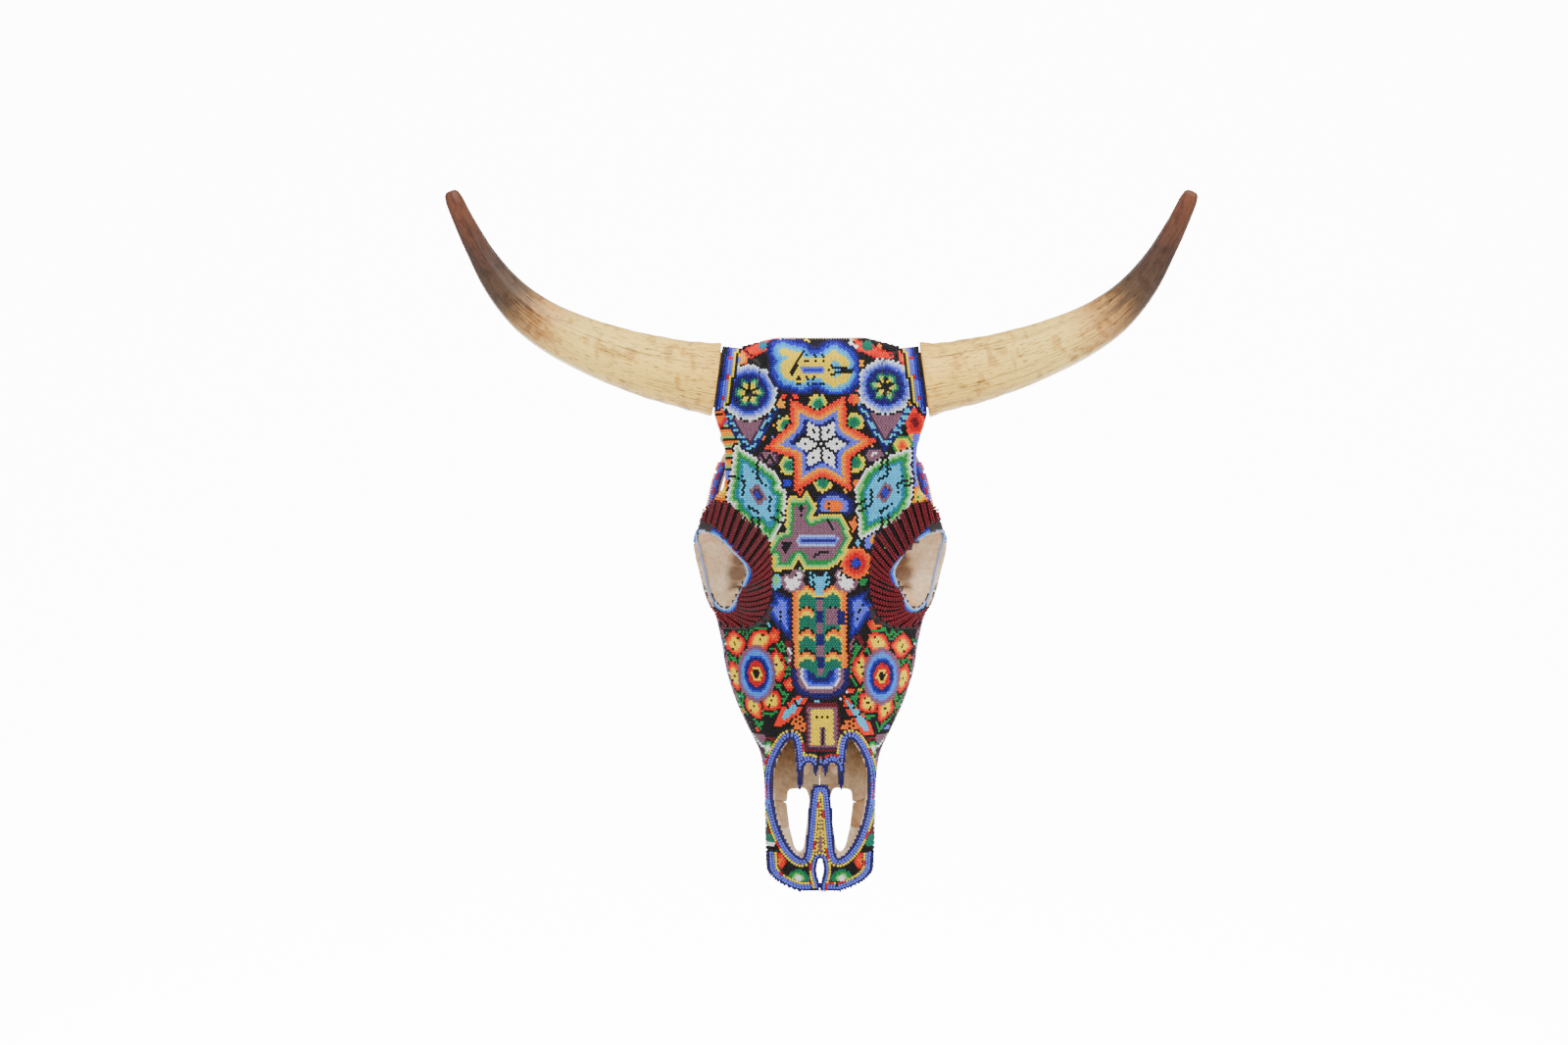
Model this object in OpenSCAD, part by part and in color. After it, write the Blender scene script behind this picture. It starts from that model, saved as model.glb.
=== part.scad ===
// Beaded bull skull, hung by its foramen magnum with the muzzle pointing down.
// X runs across the face, Y from the face to the wall, Z up the wall.
// The shapes are drawn in skull coordinates: z is the height above the tip of the muzzle and
// y the depth behind the forehead. place() then moves the hook hole to the origin.

/* [Skull] */
// Length of the skull from the poll to the tip of the muzzle
skull_len = 471; // [450:1:490]
// Thickness of the bone wall
wall = 6; // [5:0.5:7]
// Radius of the foramen magnum, which the wall hook goes into
hook_r = 18; // [16:0.5:20]
// Length of the bony ring round the foramen magnum
hook_len = 16; // [12:1:18]

/* [Horns] */
// Length of a horn sheath along its centre line
horn_len = 292; // [270:1:310]
// Angle by which the horns lean towards the viewer
horn_lean = 18; // [0:1:25]
// Upward angle of a horn where it leaves the skull
horn_rise = 8; // [4:1:12]
// Radius of the arc that a bony horn core follows
core_arc = 430; // [400:10:500]
// Length of a horn core outside the skull
core_len = 150; // [130:1:155]
// Radius of a horn core where the sheath begins
core_r = 24; // [22:0.5:24.5]
// Gap between a core and its sheath
sheath_gap = 1; // [0.6:0.1:1.5]

/* [Beadwork] */
// Height of the wax and the beads pressed into it
bead_t = 2; // [1.6:0.1:2.4]
// Height of the corded ridges round the eyes
ridge_t = 3.6; // [3:0.1:4.5]

/* [Teeth] */
// Height of a cheek tooth's crown below its socket
crown_h = 13; // [10:1:15]
// Depth of a cheek tooth's socket
root_h = 16; // [12:1:18]

/* [Hidden] */

LEFT = -1;
RIGHT = 1;
FINE = 20; // facets round a swept tube
k = skull_len / 471; // the section table is drawn for a skull 471 long
hook = [0, 106, 426]; // centre of the foramen magnum
hook_lean = 35; // its axis leans back from straight up by this much
overlap = 0.01; // lets cutters pass the faces that they share

// Half sections of the skull from the tip of the muzzle to the poll. Each row is
// [z, front y, shoulder x, y, side x, y, lower side x, y, bottom corner x, y, back y].
SECTIONS = [
    [0, 66, 12, 66.5, 17, 69, 16, 73, 11, 75, 75],
    [6, 63, 20, 64, 31, 68, 30, 74, 22, 77, 76],
    [16, 58, 32, 59.5, 42, 65, 41, 73, 31, 79, 78],
    [29, 53, 35, 56, 44, 63, 43, 73, 34, 81, 80],
    [54, 42, 35, 47, 44.5, 58, 44, 71, 36, 85, 83],
    [95, 25, 33, 33, 45, 48, 45, 70, 38, 94, 92],
    [120, 16, 30, 23, 48, 46, 48, 76, 40, 104, 100],
    [142, 11, 32, 18, 56, 46, 60, 84, 48, 122, 108],
    [165, 8, 34, 15, 66, 49, 70, 90, 54, 132, 114],
    [190, 5, 38, 12, 75, 53, 76, 92, 57, 135, 118],
    [215, 3, 43, 10, 80, 57, 79, 96, 59, 136, 121],
    [240, 1, 52, 8, 87, 58, 82, 97, 58, 134, 122],
    [262, 0, 58, 7, 94, 60, 86, 90, 56, 126, 118],
    [285, 0, 62, 6, 100, 55, 84, 82, 50, 114, 113],
    [307, 0, 66, 6, 104.5, 38, 80, 68, 46, 106, 111],
    [321, 0, 66, 6, 100, 30, 66, 56, 44, 102, 110],
    [334, 0, 64, 5, 91, 20, 57, 46, 43, 100, 109],
    [348, 0, 62, 4, 80, 13, 54, 40, 43, 100, 110],
    [378, 0, 62, 3, 79, 12, 53, 40, 46, 104, 115],
    [402, 0, 66, 3, 86, 17, 56, 44, 52, 106, 119],
    [418, 0, 66, 3, 90, 22, 68, 52, 54, 102, 112],
    [438, 1, 64, 4, 87, 24, 77, 53, 54, 88, 95],
    [452, 4, 60, 7, 82, 24, 74, 48, 50, 72, 78],
    [463, 11, 50, 11, 70, 24, 64, 42, 42, 54, 58],
    [471, 20, 32, 19, 40, 26, 35, 34, 22, 38, 38],
];
SECTION_STEPS = 1; // rings between one row and the next
LOOP_STEPS = 2; // points between one corner of a section and the next
CAVITY_FIRST = 4; // the hollow runs between these two rows
CAVITY_LAST = 22;

// ---------- curves ----------

function spline(a, b, c, d, t) =
    0.5 * (2 * b + (c - a) * t + (2 * a - 5 * b + 4 * c - d) * t * t
    + (3 * b - a - 3 * c + d) * t * t * t);

function clamp_row(i) = SECTIONS[min(max(i, 0), len(SECTIONS) - 1)] * k;

function section(i, t) =
    spline(clamp_row(i - 1), clamp_row(i), clamp_row(i + 1), clamp_row(i + 2), t);

// The corners of one closed section, grown outwards by g.
function corners(s, g) =
    let (half = [
        [s[2] * 0.5, s[1] + (s[3] - s[1]) * 0.25 - g],
        [s[2] + 0.5 * g, s[3] - g],
        [s[4] + g, s[5] - 0.3 * g],
        [s[6] + g, s[7] + 0.2 * g],
        [s[8] + 0.8 * g, s[9] + g],
    ])
    concat(
        [[0, s[1] - g]], half, [[0, s[10] + g]],
        [for (i = [len(half) - 1:-1:0]) [-half[i][0], half[i][1]]]
    );

function smooth_loop(p) =
    let (n = len(p))
    [for (i = [0:n - 1], j = [0:LOOP_STEPS - 1])
        spline(p[(i + n - 1) % n], p[i], p[(i + 1) % n], p[(i + 2) % n], j / LOOP_STEPS)];

function at_height(loop, z) = [for (p = loop) [p[0], p[1], z]];

// ---------- solids from rings ----------

// A closed solid through rings of equal length, with flat ends.
module loft(rings) {
    n = len(rings[0]);
    m = len(rings);
    points = [for (r = rings, p = r) p];
    sides = [for (i = [0:m - 2], j = [0:n - 1])
        let (a = i * n + j, b = i * n + (j + 1) % n)
        each [[a, a + n, b], [b, a + n, b + n]]];
    ends = [
        [for (j = [0:n - 1]) j],
        [for (j = [n - 1:-1:0]) (m - 1) * n + j],
    ];
    polyhedron(points, concat(sides, ends));
}

// The outside of the skull, grown by g.
module envelope(g = 0, first = 0, last = len(SECTIONS) - 1) {
    steps = (last - first) * SECTION_STEPS;
    loft([for (i = [0:steps])
        let (
            row = min(first + floor(i / SECTION_STEPS), last - 1),
            s = section(row, i / SECTION_STEPS - (row - first)),
            z = i == 0 && first == 0 ? s[0] - max(g, 0) : s[0]
        )
        at_height(smooth_loop(corners(s, g)), i == steps && g > 0 ? z + g : z)]);
}

// The part of something that stands out of the skull, rooted a little way into the bone.
module standing_out() {
    difference() {
        children();
        envelope(-2);
    }
}

// A ring of n points round a centre line point, in the plane of the vectors u and v.
function ring(centre, u, v, r, n = FINE) =
    [for (i = [0:n - 1]) centre + r * (cos(360 * i / n) * u + sin(360 * i / n) * v)];

function unit(v) = v / norm(v);

// A tube through points, with a radius at each, whose section stays upright.
module tube(path, radii, n = 10, flat = 1) {
    last = len(path) - 1;
    loft([for (i = [0:last])
        let (
            along = unit(path[min(i + 1, last)] - path[max(i - 1, 0)]),
            u = unit(cross([0, -1, 0], along)),
            v = unit(cross(along, u))
        )
        ring(path[i], u * flat, v, radii[i], n)]);
}

// The points of a smooth curve through a few chosen ones.
function curve(p, steps = 3) =
    let (last = len(p) - 1)
    concat(
        [for (i = [0:last - 1], j = [0:steps - 1])
            spline(p[max(i - 1, 0)], p[i], p[i + 1], p[min(i + 2, last)], j / steps)],
        [p[last]]
    );

// ---------- placing ----------

module place() {
    translate(-hook * k) children();
}

// A flat outline in x and z, pushed through the skull from depth y0 to y1.
module through(y0 = -20, y1 = 200) {
    translate([0, y1 * k, 0]) rotate([90, 0, 0]) linear_extrude((y1 - y0) * k) scale(k) children();
}

// A flat outline in y and z, pushed across the skull from x0 to x1.
module across(x0, x1) {
    translate([x0 * k, 0, 0]) multmatrix([[0, 0, 1, 0], [1, 0, 0, 0], [0, 1, 0, 0]])
        linear_extrude((x1 - x0) * k) scale(k) children();
}

module half(side) {
    x = side == LEFT ? -400 : 0;
    translate([x, -100, -100]) cube([400, 500, 800]);
}

// ---------- openings in the bone ----------

// The rim of an eye socket: points round its mouth, from the brow inwards and down.
EYE_RIM = [[104, 37, 309], [89, 21, 306], [73, 11, 290], [61, 8, 278], [65, 11, 267], [73, 20, 255],
    [76, 31, 247], [83, 44, 243], [91, 57, 249], [96, 64, 262], [99, 62, 277], [103, 52, 295]];
EYE_APEX = [34, 62, 290]; // the point deep in the skull towards which a socket narrows
EYE_MIDDLE = [85, 36, 277];

module ball(p, r, n = 16) {
    translate(p * k) sphere(r * k, $fn = n);
}

function mirrored(side, p) = [side * p[0], p[1], p[2]];

function eye_ring(side, t, grow) =
    let (
        rim = [for (p = EYE_RIM) p + grow * unit(p - EYE_MIDDLE)],
        n = len(rim),
        round_rim = [for (i = [0:n - 1], j = [0:1])
            spline(rim[(i + n - 1) % n], rim[i], rim[(i + 1) % n], rim[(i + 2) % n], j / 2)],
        turned = side == LEFT ? [for (i = [len(round_rim) - 1:-1:0]) round_rim[i]] : round_rim
    )
    [for (p = turned) mirrored(side, EYE_APEX + t * (p - EYE_APEX)) * k];

// One eye socket: a cone that narrows into the skull.
module eye_socket(side, grow = 0, far = 1.7, near = 0.3) {
    steps = [near, near + 0.14, 0.7, far];
    loft([for (t = steps) eye_ring(side, t, grow)]);
}

// The hole deep in an eye socket for the nerve.
module eye_nerve_hole(side) {
    hull() {
        ball([side * 66, 40, 272], 5, 10);
        ball([side * 40, 66, 286], 9, 10);
    }
}

// The opening of the nose, seen from the front.
NOSE_RIM = [[0, 140], [20, 140], [26, 134], [34, 122], [39, 107], [40, 88], [37.5, 69], [32.5, 52],
    [26, 39], [18, 31], [8, 28], [0, 27]];
module nose_outline() {
    polygon(concat(NOSE_RIM, [for (i = [len(NOSE_RIM) - 2:-1:1]) [-NOSE_RIM[i][0], NOSE_RIM[i][1]]]));
}

// One hole through the floor of the nose.
module palate_hole(side) {
    through(45, 130) polygon([for (p = [
        [27, 85], [28.5, 73], [26, 53], [22, 37], [17.5, 31], [14, 36], [11.5, 56], [9.5, 78], [12, 86],
    ]) [side * p[0], p[1]]]);
}

// The gap between the two premaxillae.
module muzzle_slot() {
    through() hull() {
        translate([0, 6]) circle(1.2, $fn = 16);
        translate([0, 18]) circle(3.3, $fn = 20);
        translate([0, 27]) circle(2, $fn = 16);
    }
    through() translate([-0.6, -10]) square([1.2, 20]);
}

// The way from the nose to the throat.
module throat() {
    hull() {
        for (s = [LEFT, RIGHT]) {
            ball([s * 9, 120, 292], 11, 12);
            ball([s * 9, 92, 312], 12, 12);
        }
    }
}

module openings() {
    for (s = [LEFT, RIGHT]) {
        eye_socket(s);
        eye_nerve_hole(s);
        palate_hole(s);
    }
    through(-20, 34) difference() {
        nose_outline();
        nasal_outline();
    }
    through(33, 62) nose_outline();
    muzzle_slot();
    throat();
    brain_way();
    infraorbital_holes();
}

// The free way from the hook hole into the brain case.
module brain_way() {
    hull() {
        ball(hook, hook_r, 24);
        ball([0, 80, 395], hook_r + 2, 24);
    }
}

// Small nerve holes low on the cheeks.
module infraorbital_holes() {
    for (s = [LEFT, RIGHT]) {
        hull() {
            ball([s * 62, 84, 148], 2.6, 8);
            ball([s * 46, 80, 164], 2.6, 8);
        }
    }
}

// ---------- the hollow skull and the sutures that divide it ----------

module shell() {
    difference() {
        envelope();
        cavity();
        openings();
        occipital_block();
        hook_axis() translate([-200, -200, -nape_t] * k) cube([400, 400, 200] * k);
        for (s = [LEFT, RIGHT]) {
            core_body(s);
            tooth_row(s);
        }
    }
}

// The space inside the skull.
module cavity() {
    difference() {
        envelope(-wall, CAVITY_FIRST, CAVITY_LAST);
        eye_cups();
        tooth_beds();
    }
}

// Solid bone for the sockets of the cheek teeth.
module tooth_beds() {
    for (s = [LEFT, RIGHT]) {
        across(s == LEFT ? -57 : 27, s == LEFT ? -27 : 57)
            polygon([[116, 136], [112, 150], [112, 262], [150, 262], [150, 136]]);
    }
}

// The walls of bone round the eye sockets, inside the skull.
module eye_cups() {
    for (s = [LEFT, RIGHT]) {
        eye_socket(s, 4.5, 1, 0.22);
    }
}

module nasal_outline() {
    for (s = [LEFT, RIGHT]) {
        polygon([for (p = [
            [0, 276], [9, 268], [15, 252], [18, 220], [20, 180], [22, 145], [22, 128],
            [19, 92], [16, 92], [14, 110], [10, 114], [7, 112], [5, 104], [3, 104], [1.5, 111], [0, 112],
        ]) [s * p[0], p[1]]]);
    }
}

module nasal_zone() {
    through(-20, 34) nasal_outline();
}

// Everything on the face side, between the prongs too, so that the cheeks start beside the nasals.
module nose_bridge_zone() {
    through(-20, 34) polygon([
        [0, 276], [9, 268], [15, 252], [18, 220], [20, 180], [22, 145], [22, 80],
        [-22, 80], [-22, 145], [-20, 180], [-18, 220], [-15, 252], [-9, 268],
    ]);
}

// The premaxillae end along a slanting suture on the side of the muzzle.
module premaxilla_zone() {
    across(-200, 200) polygon([[-40, -40], [-40, 134], [30, 134], [60, 84], [120, 62], [160, 62], [160, -40]]);
}

module lacrimal_zone() {
    for (s = [LEFT, RIGHT]) {
        through(-20, 60) polygon([for (p = [[10, 262], [17, 236], [60, 226], [120, 226], [120, 262]])
            [s * p[0], p[1]]]);
    }
}

module zygomatic_zone() {
    for (s = [LEFT, RIGHT]) {
        across(s == LEFT ? -200 : 60, s == LEFT ? -60 : 200)
            polygon([[56, 214], [48, 246], [56, 262], [48, 292], [40, 312], [60, 330], [110, 330], [110, 214]]);
    }
}

// Behind this line lie the bones of the brain case and the throat.
module back_zone() {
    across(-200, 200) polygon([[46, 600], [46, 300], [68, 300], [68, 262], [200, 262], [200, 600]]);
}

module palatine_zone() {
    across(-200, 200) polygon([[104, 222], [104, 262], [200, 262], [200, 222]]);
}

module sphenoid_zone() {
    across(-200, 200) polygon([[68, 262], [68, 300], [86, 300], [86, 372], [200, 372], [200, 262]]);
    across(-30, 30) polygon([[86, 371], [86, 425], [200, 425], [200, 371]]);
}

module temporal_zone() {
    for (s = [LEFT, RIGHT]) {
        across(s == LEFT ? -200 : 30, s == LEFT ? -30 : 200)
            polygon([[46, 300], [46, 425], [200, 425], [200, 372], [86, 372], [86, 300]]);
    }
}

bone = [0.88, 0.80, 0.66];
horn = [0.86, 0.76, 0.55];
enamel = [0.93, 0.89, 0.78];

module nasal(side) {
    color(bone) intersection() {
        shell();
        nasal_zone();
        half(side);
    }
}

module frontal(side) {
    color(bone) intersection() {
        difference() {
            shell();
            nose_bridge_zone();
            lacrimal_zone();
            zygomatic_zone();
            back_zone();
            translate([-300, -100, -100]) cube([600, 400, 100 + 262 * k]);
        }
        half(side);
    }
}

module lacrimal(side) {
    color(bone) intersection() {
        difference() {
            shell();
            nose_bridge_zone();
        }
        lacrimal_zone();
        half(side);
    }
}

// The bar round the outer side of the eye socket, from the cheek up to the brow.
module eye_bar(side, grow = 0) {
    rim = [for (i = [6, 7, 8, 9, 10, 11]) EYE_RIM[i] + 3 * unit(EYE_RIM[i] - EYE_MIDDLE)];
    path = curve([for (p = concat(rim, [[98, 42, 313]])) mirrored(side, p) * k], 2);
    tube(path, [for (i = [1:len(path)]) (4.4 + grow) * k], 10);
}

module zygomatic(side) {
    color(bone) intersection() {
        difference() {
            union() {
                intersection() {
                    envelope();
                    zygomatic_zone();
                }
                eye_bar(side);
                cheek_arch(side);
            }
            cavity();
            openings();
            lacrimal_zone();
            temporal_part_of_arch();
        }
        union() {
            zygomatic_zone();
            arch_zone();
        }
        half(side);
    }
}

// The bar of bone behind the eye socket, from the cheek to the side of the brain case.
arch_path = [[99, 66, 286], [97, 72, 308], [92, 77, 334], [87, 80, 356], [78, 82, 376], [60, 80, 396]];
arch_r = [7, 7, 6.5, 6.5, 7, 9];

module cheek_arch(side, grow = 0) {
    path = curve([for (p = arch_path) [side * p[0], p[1], p[2]] * k]);
    radii = [for (p = curve([for (r = arch_r) [r, 0, 0]])) (p[0] + grow) * k];
    tube(path, radii, 10, 0.7);
}

module arch_zone() {
    across(-200, 200) polygon([[55, 280], [55, 420], [100, 420], [100, 280]]);
}

module temporal_part_of_arch() {
    across(-200, 200) polygon([[40, 356], [40, 470], [130, 470], [130, 366]]);
}

module temporal(side) {
    color(bone) intersection() {
        difference() {
            union() {
                difference() {
                    intersection() {
                        shell();
                        temporal_zone();
                    }
                    zygomatic_zone();
                }
                standing_out() {
                    intersection() {
                        cheek_arch(side);
                        temporal_part_of_arch();
                    }
                    ear_bulb(side);
                }
            }
            occipital_block();
        }
        half(side);
    }
}

// The hollow bulb under the ear, with the bony tube of the ear canal.
module ear_bulb(side) {
    difference() {
        union() {
            hull() {
                ball([side * 44, 108, 384], 9, 12);
                ball([side * 40, 120, 374], 7, 12);
            }
            hull() {
                ball([side * 50, 92, 390], 8, 12);
                ball([side * 80, 78, 388], 6, 12);
                ball([side * 82, 72, 390], 5, 12);
            }
        }
        hull() {
            ball([side * 70, 86, 388], 2.6, 10);
            ball([side * 96, 74, 388], 3.2, 10);
        }
    }
}

module maxilla(side) {
    color(bone) intersection() {
        difference() {
            union() {
                shell();
                standing_out() cheek_bump(side);
            }
            nose_bridge_zone();
            premaxilla_zone();
            lacrimal_zone();
            zygomatic_zone();
            back_zone();
            palatine_zone();
            translate([-300, -100, 262 * k]) cube([600, 400, 500]);
        }
        half(side);
    }
}

// The rough bump low on each cheek.
module cheek_bump(side) {
    hull() {
        ball([side * 67, 84, 165], 5, 12);
        ball([side * 72, 86, 190], 6.5, 12);
        ball([side * 75, 78, 222], 6, 12);
    }
}

module premaxilla(side) {
    color(bone) intersection() {
        difference() {
            union() {
                shell();
                centre_bar();
            }
            nose_bridge_zone();
            muzzle_slot();
            for (s = [LEFT, RIGHT]) {
                palate_hole(s);
            }
        }
        premaxilla_zone();
        half(side);
    }
}

// The pair of thin plates that run up the middle of the nose from the premaxillae.
module centre_bar() {
    intersection() {
        through(30, 100) polygon([
            [-16, 22], [-13, 34], [-11, 56], [-9, 80], [-7, 92], [-3, 95],
            [3, 95], [7, 92], [9, 80], [11, 56], [13, 34], [16, 22],
        ]);
        across(-30, 30) polygon([[57, 22], [61, 45], [72, 95], [79, 95], [77, 60], [76, 22]]);
    }
}

module palatine() {
    color(bone) intersection() {
        difference() {
            shell();
            back_zone();
            zygomatic_zone();
        }
        palatine_zone();
    }
}

module sphenoid() {
    color(bone) difference() {
        union() {
            difference() {
                intersection() {
                    shell();
                    back_zone();
                    sphenoid_zone();
                }
                zygomatic_zone();
            }
            standing_out() {
                pterygoid(LEFT);
                pterygoid(RIGHT);
            }
        }
        occipital_block();
    }
}

// The thin hooked plate beside the throat.
module pterygoid(side) {
    hull() {
        ball([side * 25, 108, 304], 3, 8);
        ball([side * 24, 132, 302], 2.5, 8);
        ball([side * 26, 108, 340], 3, 8);
    }
    hull() {
        ball([side * 24, 132, 302], 2.5, 8);
        ball([side * 24, 136, 294], 2, 8);
    }
}

module parietal() {
    color(bone) difference() {
        intersection() {
            shell();
            back_zone();
        }
        translate([-300, -100, -100]) cube([600, 400, 100 + 425 * k]);
    }
}

module hook_axis() {
    translate(hook * k) rotate([-hook_lean, 0, 0]) children();
}

// The plate at the back of the head, seen along the axis of the hook hole.
module nape_outline() {
    polygon(concat(NAPE, [for (i = [len(NAPE) - 1:-1:0]) [-NAPE[i][0], NAPE[i][1]]]));
}
NAPE = [[14, -87], [34, -88], [50, -83], [64, -71], [68, -54], [65, -30], [57, -10], [52, 8],
    [53, 24], [47, 36], [39, 28], [16, 31]];
nape_t = 11; // thickness of that plate

// The back of the head without its hole.
module occipital_block() {
    hook_axis() {
        translate([0, 0, -nape_t * k]) linear_extrude((nape_t - 1) * k) scale(k) nape_outline();
        translate([0, 0, -hook_len * k + 5 * k]) cylinder(r = 27 * k, h = hook_len * k, $fn = 48);
        for (s = [LEFT, RIGHT]) {
            hull() {
                translate([s * 26, 6, 2] * k) sphere(9 * k, $fn = 14);
                translate([s * 17, 27, 3] * k) sphere(10 * k, $fn = 14);
            }
            hull() {
                translate([s * 44, 24, -4] * k) sphere(7 * k, $fn = 12);
                translate([s * 46, 48, -6] * k) sphere(4.5 * k, $fn = 12);
            }
        }
    }
    hull() {
        ball([0, 122, 402], 11, 14);
        ball([0, 118, 366], 8, 14);
    }
}

module occipital() {
    color(bone) difference() {
        occipital_block();
        hook_axis() cylinder(r = hook_r, h = 4 * hook_len * k, center = true, $fn = 72);
        hook_axis() translate([0, 0, -60 * k + 5 * k - hook_len * k]) cylinder(r = 26 * k, h = 60 * k, $fn = 48);
    }
}

// The thin upright plate that divides the nose.
module vomer() {
    color(bone) intersection() {
        across(-1.6, 1.6) polygon([[74, 100], [62, 140], [58, 240], [80, 262], [130, 262], [130, 100]]);
        cavity();
    }
}

// The scrolled bone that fills one side of the nose, hanging from the side wall.
module nasal_concha(side) {
    color(bone) intersection() {
        difference() {
            union() {
                hull() {
                    ball([side * 13, 50, 106], 5, 10);
                    ball([side * 15, 46, 150], 10, 10);
                    ball([side * 15, 44, 205], 10, 10);
                }
                hull() {
                    ball([side * 20, 50, 140], 2.5, 10);
                    ball([side * 20, 48, 200], 2.5, 10);
                    ball([side * 90, 60, 150], 2.5, 10);
                    ball([side * 90, 58, 200], 2.5, 10);
                }
            }
            hull() {
                ball([side * 16, 54, 98], 3, 10);
                ball([side * 17, 53, 150], 6.5, 10);
                ball([side * 17, 51, 196], 6.5, 10);
            }
        }
        cavity();
    }
}

// ---------- teeth ----------

// [name's place in the row, height of its middle, its length, its width]
TEETH = [[149, 13, 14], [164, 15, 17], [180.5, 16, 19], [199, 19, 21], [220, 21, 22], [243.5, 24, 22]];

function tooth_x(z) = 38 + 0.062 * (z - 149);

module tooth(side, n) {
    t = TEETH[n];
    r = 3.2;
    x = tooth_x(t[0]);
    translate([side * x, 134, t[0]] * k) scale(k) difference() {
        hull() {
            for (dx = [-1, 1], dz = [-1, 1]) {
                translate([dx * (t[2] / 2 - r), -root_h, dz * (t[1] / 2 - r)]) rotate([-90, 0, 0])
                    cylinder(r1 = r * 0.7, r2 = r, h = root_h + crown_h - 3, $fn = 12);
            }
            for (dz = [-0.28, 0.28]) {
                translate([side * 2.5, crown_h - 2.5, dz * t[1]]) sphere(3, $fn = 8);
            }
        }
        for (dz = [-0.25, 0.25]) {
            translate([-side * t[2] * 0.1, crown_h + 1, dz * t[1]]) scale([1.6, 1, 1]) sphere(2.6, $fn = 8);
        }
    }
}

module tooth_row(side) {
    for (n = [0:len(TEETH) - 1]) {
        hull() tooth(side, n);
    }
}

// ---------- horns ----------

horn_base = [88, 27, 438]; // where the sheath's mouth begins
stub = 30; // length of the core inside the skull

function deg(r) = r * 180 / PI;
function ease(t) = let (c = min(max(t, 0), 1)) c * c * (3 - 2 * c);

// Heading of the horn's centre line above level, at length s.
function core_heading(s) = horn_rise + deg(s / (core_arc * k));
function horn_heading(s) = core_heading(s * k) + 23 * ease((s - 120) / 115);

// A direction in the leaning plane of the horn.
function in_plane(side, a) = [side * cos(a), -sin(a) * sin(horn_lean), sin(a) * cos(horn_lean)];
function plane_normal(side) = [0, cos(horn_lean), sin(horn_lean)];

function walk(side, headings, step, from) =
    [for (i = 0, p = from; i <= len(headings);
        p = i < len(headings) ? p + step * in_plane(side, headings[i]) : p, i = i + 1) p];

// The centre line as [point, heading] pairs, a step apart.
HORN_STEP = 15;
function horn_line(side, first, last, bend) =
    let (
        n = round((last - first) / HORN_STEP),
        step = (last - first) / n,
        headings = [for (i = [0:n - 1])
            let (s = first + (i + 0.5) * step) bend ? horn_heading(s) : core_heading(s * k)],
        back = [for (i = [0:9]) core_heading(first * k * (1 - (i + 0.5) / 10))],
        base = [side * horn_base[0], horn_base[1], horn_base[2]] * k,
        start = base + first * k / 10 * total([for (a = back) in_plane(side, a)])
    )
    [for (i = [0:n])
        [walk(side, headings, step * k, start)[i],
            bend ? horn_heading(first + i * step) : core_heading((first + i * step) * k)]];

function total(list, i = 0) = i == len(list) - 1 ? list[i] : list[i] + total(list, i + 1);

function horn_rings(side, line, radii, n = FINE) =
    [for (i = [0:len(line) - 1])
        ring(line[i][0], in_plane(side, line[i][1] + 90) * -side, plane_normal(side), radii[i], n)];

// Outer radius of the sheath at length s.
SHEATH_R = [[0, 31.5], [12, 30.2], [45, 28], [77, 26], [121, 22.6], [170, 18.8], [205, 14.6],
    [235, 11.2], [262, 9.4], [284, 8], [290, 6.6], [292, 4.5]];
function sheath_r(s) = lookup(s, SHEATH_R) * k;
function bony_r(s) = core_r * (1 - pow(max(s, 0) / (core_len * 1.04), 1.5) * 0.78) * (s < 0 ? 1.04 : 1);

module core_body(side) {
    line = horn_line(side, -stub, core_len, false);
    last = len(line) - 1;
    radii = [for (i = [0:last])
        let (s = -stub + i * (core_len + stub) / last) k * bony_r(s) * (i == last ? 0.6 : 1)];
    loft(horn_rings(side, line, radii));
}

module horn_core(side) {
    color(bone) core_body(side);
}

// The hollow that the core fills, drawn past the mouth so that it cuts cleanly.
module sheath_hollow(side) {
    first = -6;
    last_s = core_len + 5;
    line = horn_line(side, first, last_s, false);
    last = len(line) - 1;
    radii = [for (i = [0:last])
        let (s = first + i * (last_s - first) / last) k * (bony_r(min(s - 3, core_len)) + sheath_gap)];
    loft(horn_rings(side, line, radii));
}

module horn_sheath(side) {
    scale_s = horn_len / 292;
    line = horn_line(side, 0, horn_len, true);
    last = len(line) - 1;
    body = [for (i = [0:last - 1]) sheath_r(i * 292 / last)];
    tip = [sheath_r(292)];
    color(horn) difference() {
        loft(horn_rings(side, line, concat(body, tip)));
        sheath_hollow(side);
    }
}

// The beaded collar round the root of each horn.
module beads_horn(side) {
    color("royalblue") difference() {
        loft(horn_rings(side, horn_line(side, -34, -1, false), [for (i = [0:3]) (core_r * 1.04 + 2.4) * k]));
        core_body(side);
        envelope();
    }
}

// ---------- beadwork ----------

module skin(t) {
    difference() {
        envelope(t);
        envelope();
        openings();
        for (s = [LEFT, RIGHT]) {
            core_body(s);
            collar_room(s);
            cheek_arch(s);
            eye_bar(s, 0.8);
            cheek_bump(s);
        }
    }
}

module collar_room(side) {
    loft(horn_rings(side, horn_line(side, -36, 30, false), [for (i = [0:6]) (core_r * 1.04 + 2.6) * k]));
}

// The corded feathers fan out round each eye socket over this outline.
module eye_outline() {
    for (s = [LEFT, RIGHT]) {
        polygon([for (p = [
            [52, 262], [50, 290], [64, 312], [84, 330], [130, 330], [130, 212],
            [86, 212], [60, 226], [44, 232], [40, 246],
        ]) [s * p[0], p[1]]]);
    }
}

module eye_zone() {
    through(-20, 58) eye_outline();
}

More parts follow.
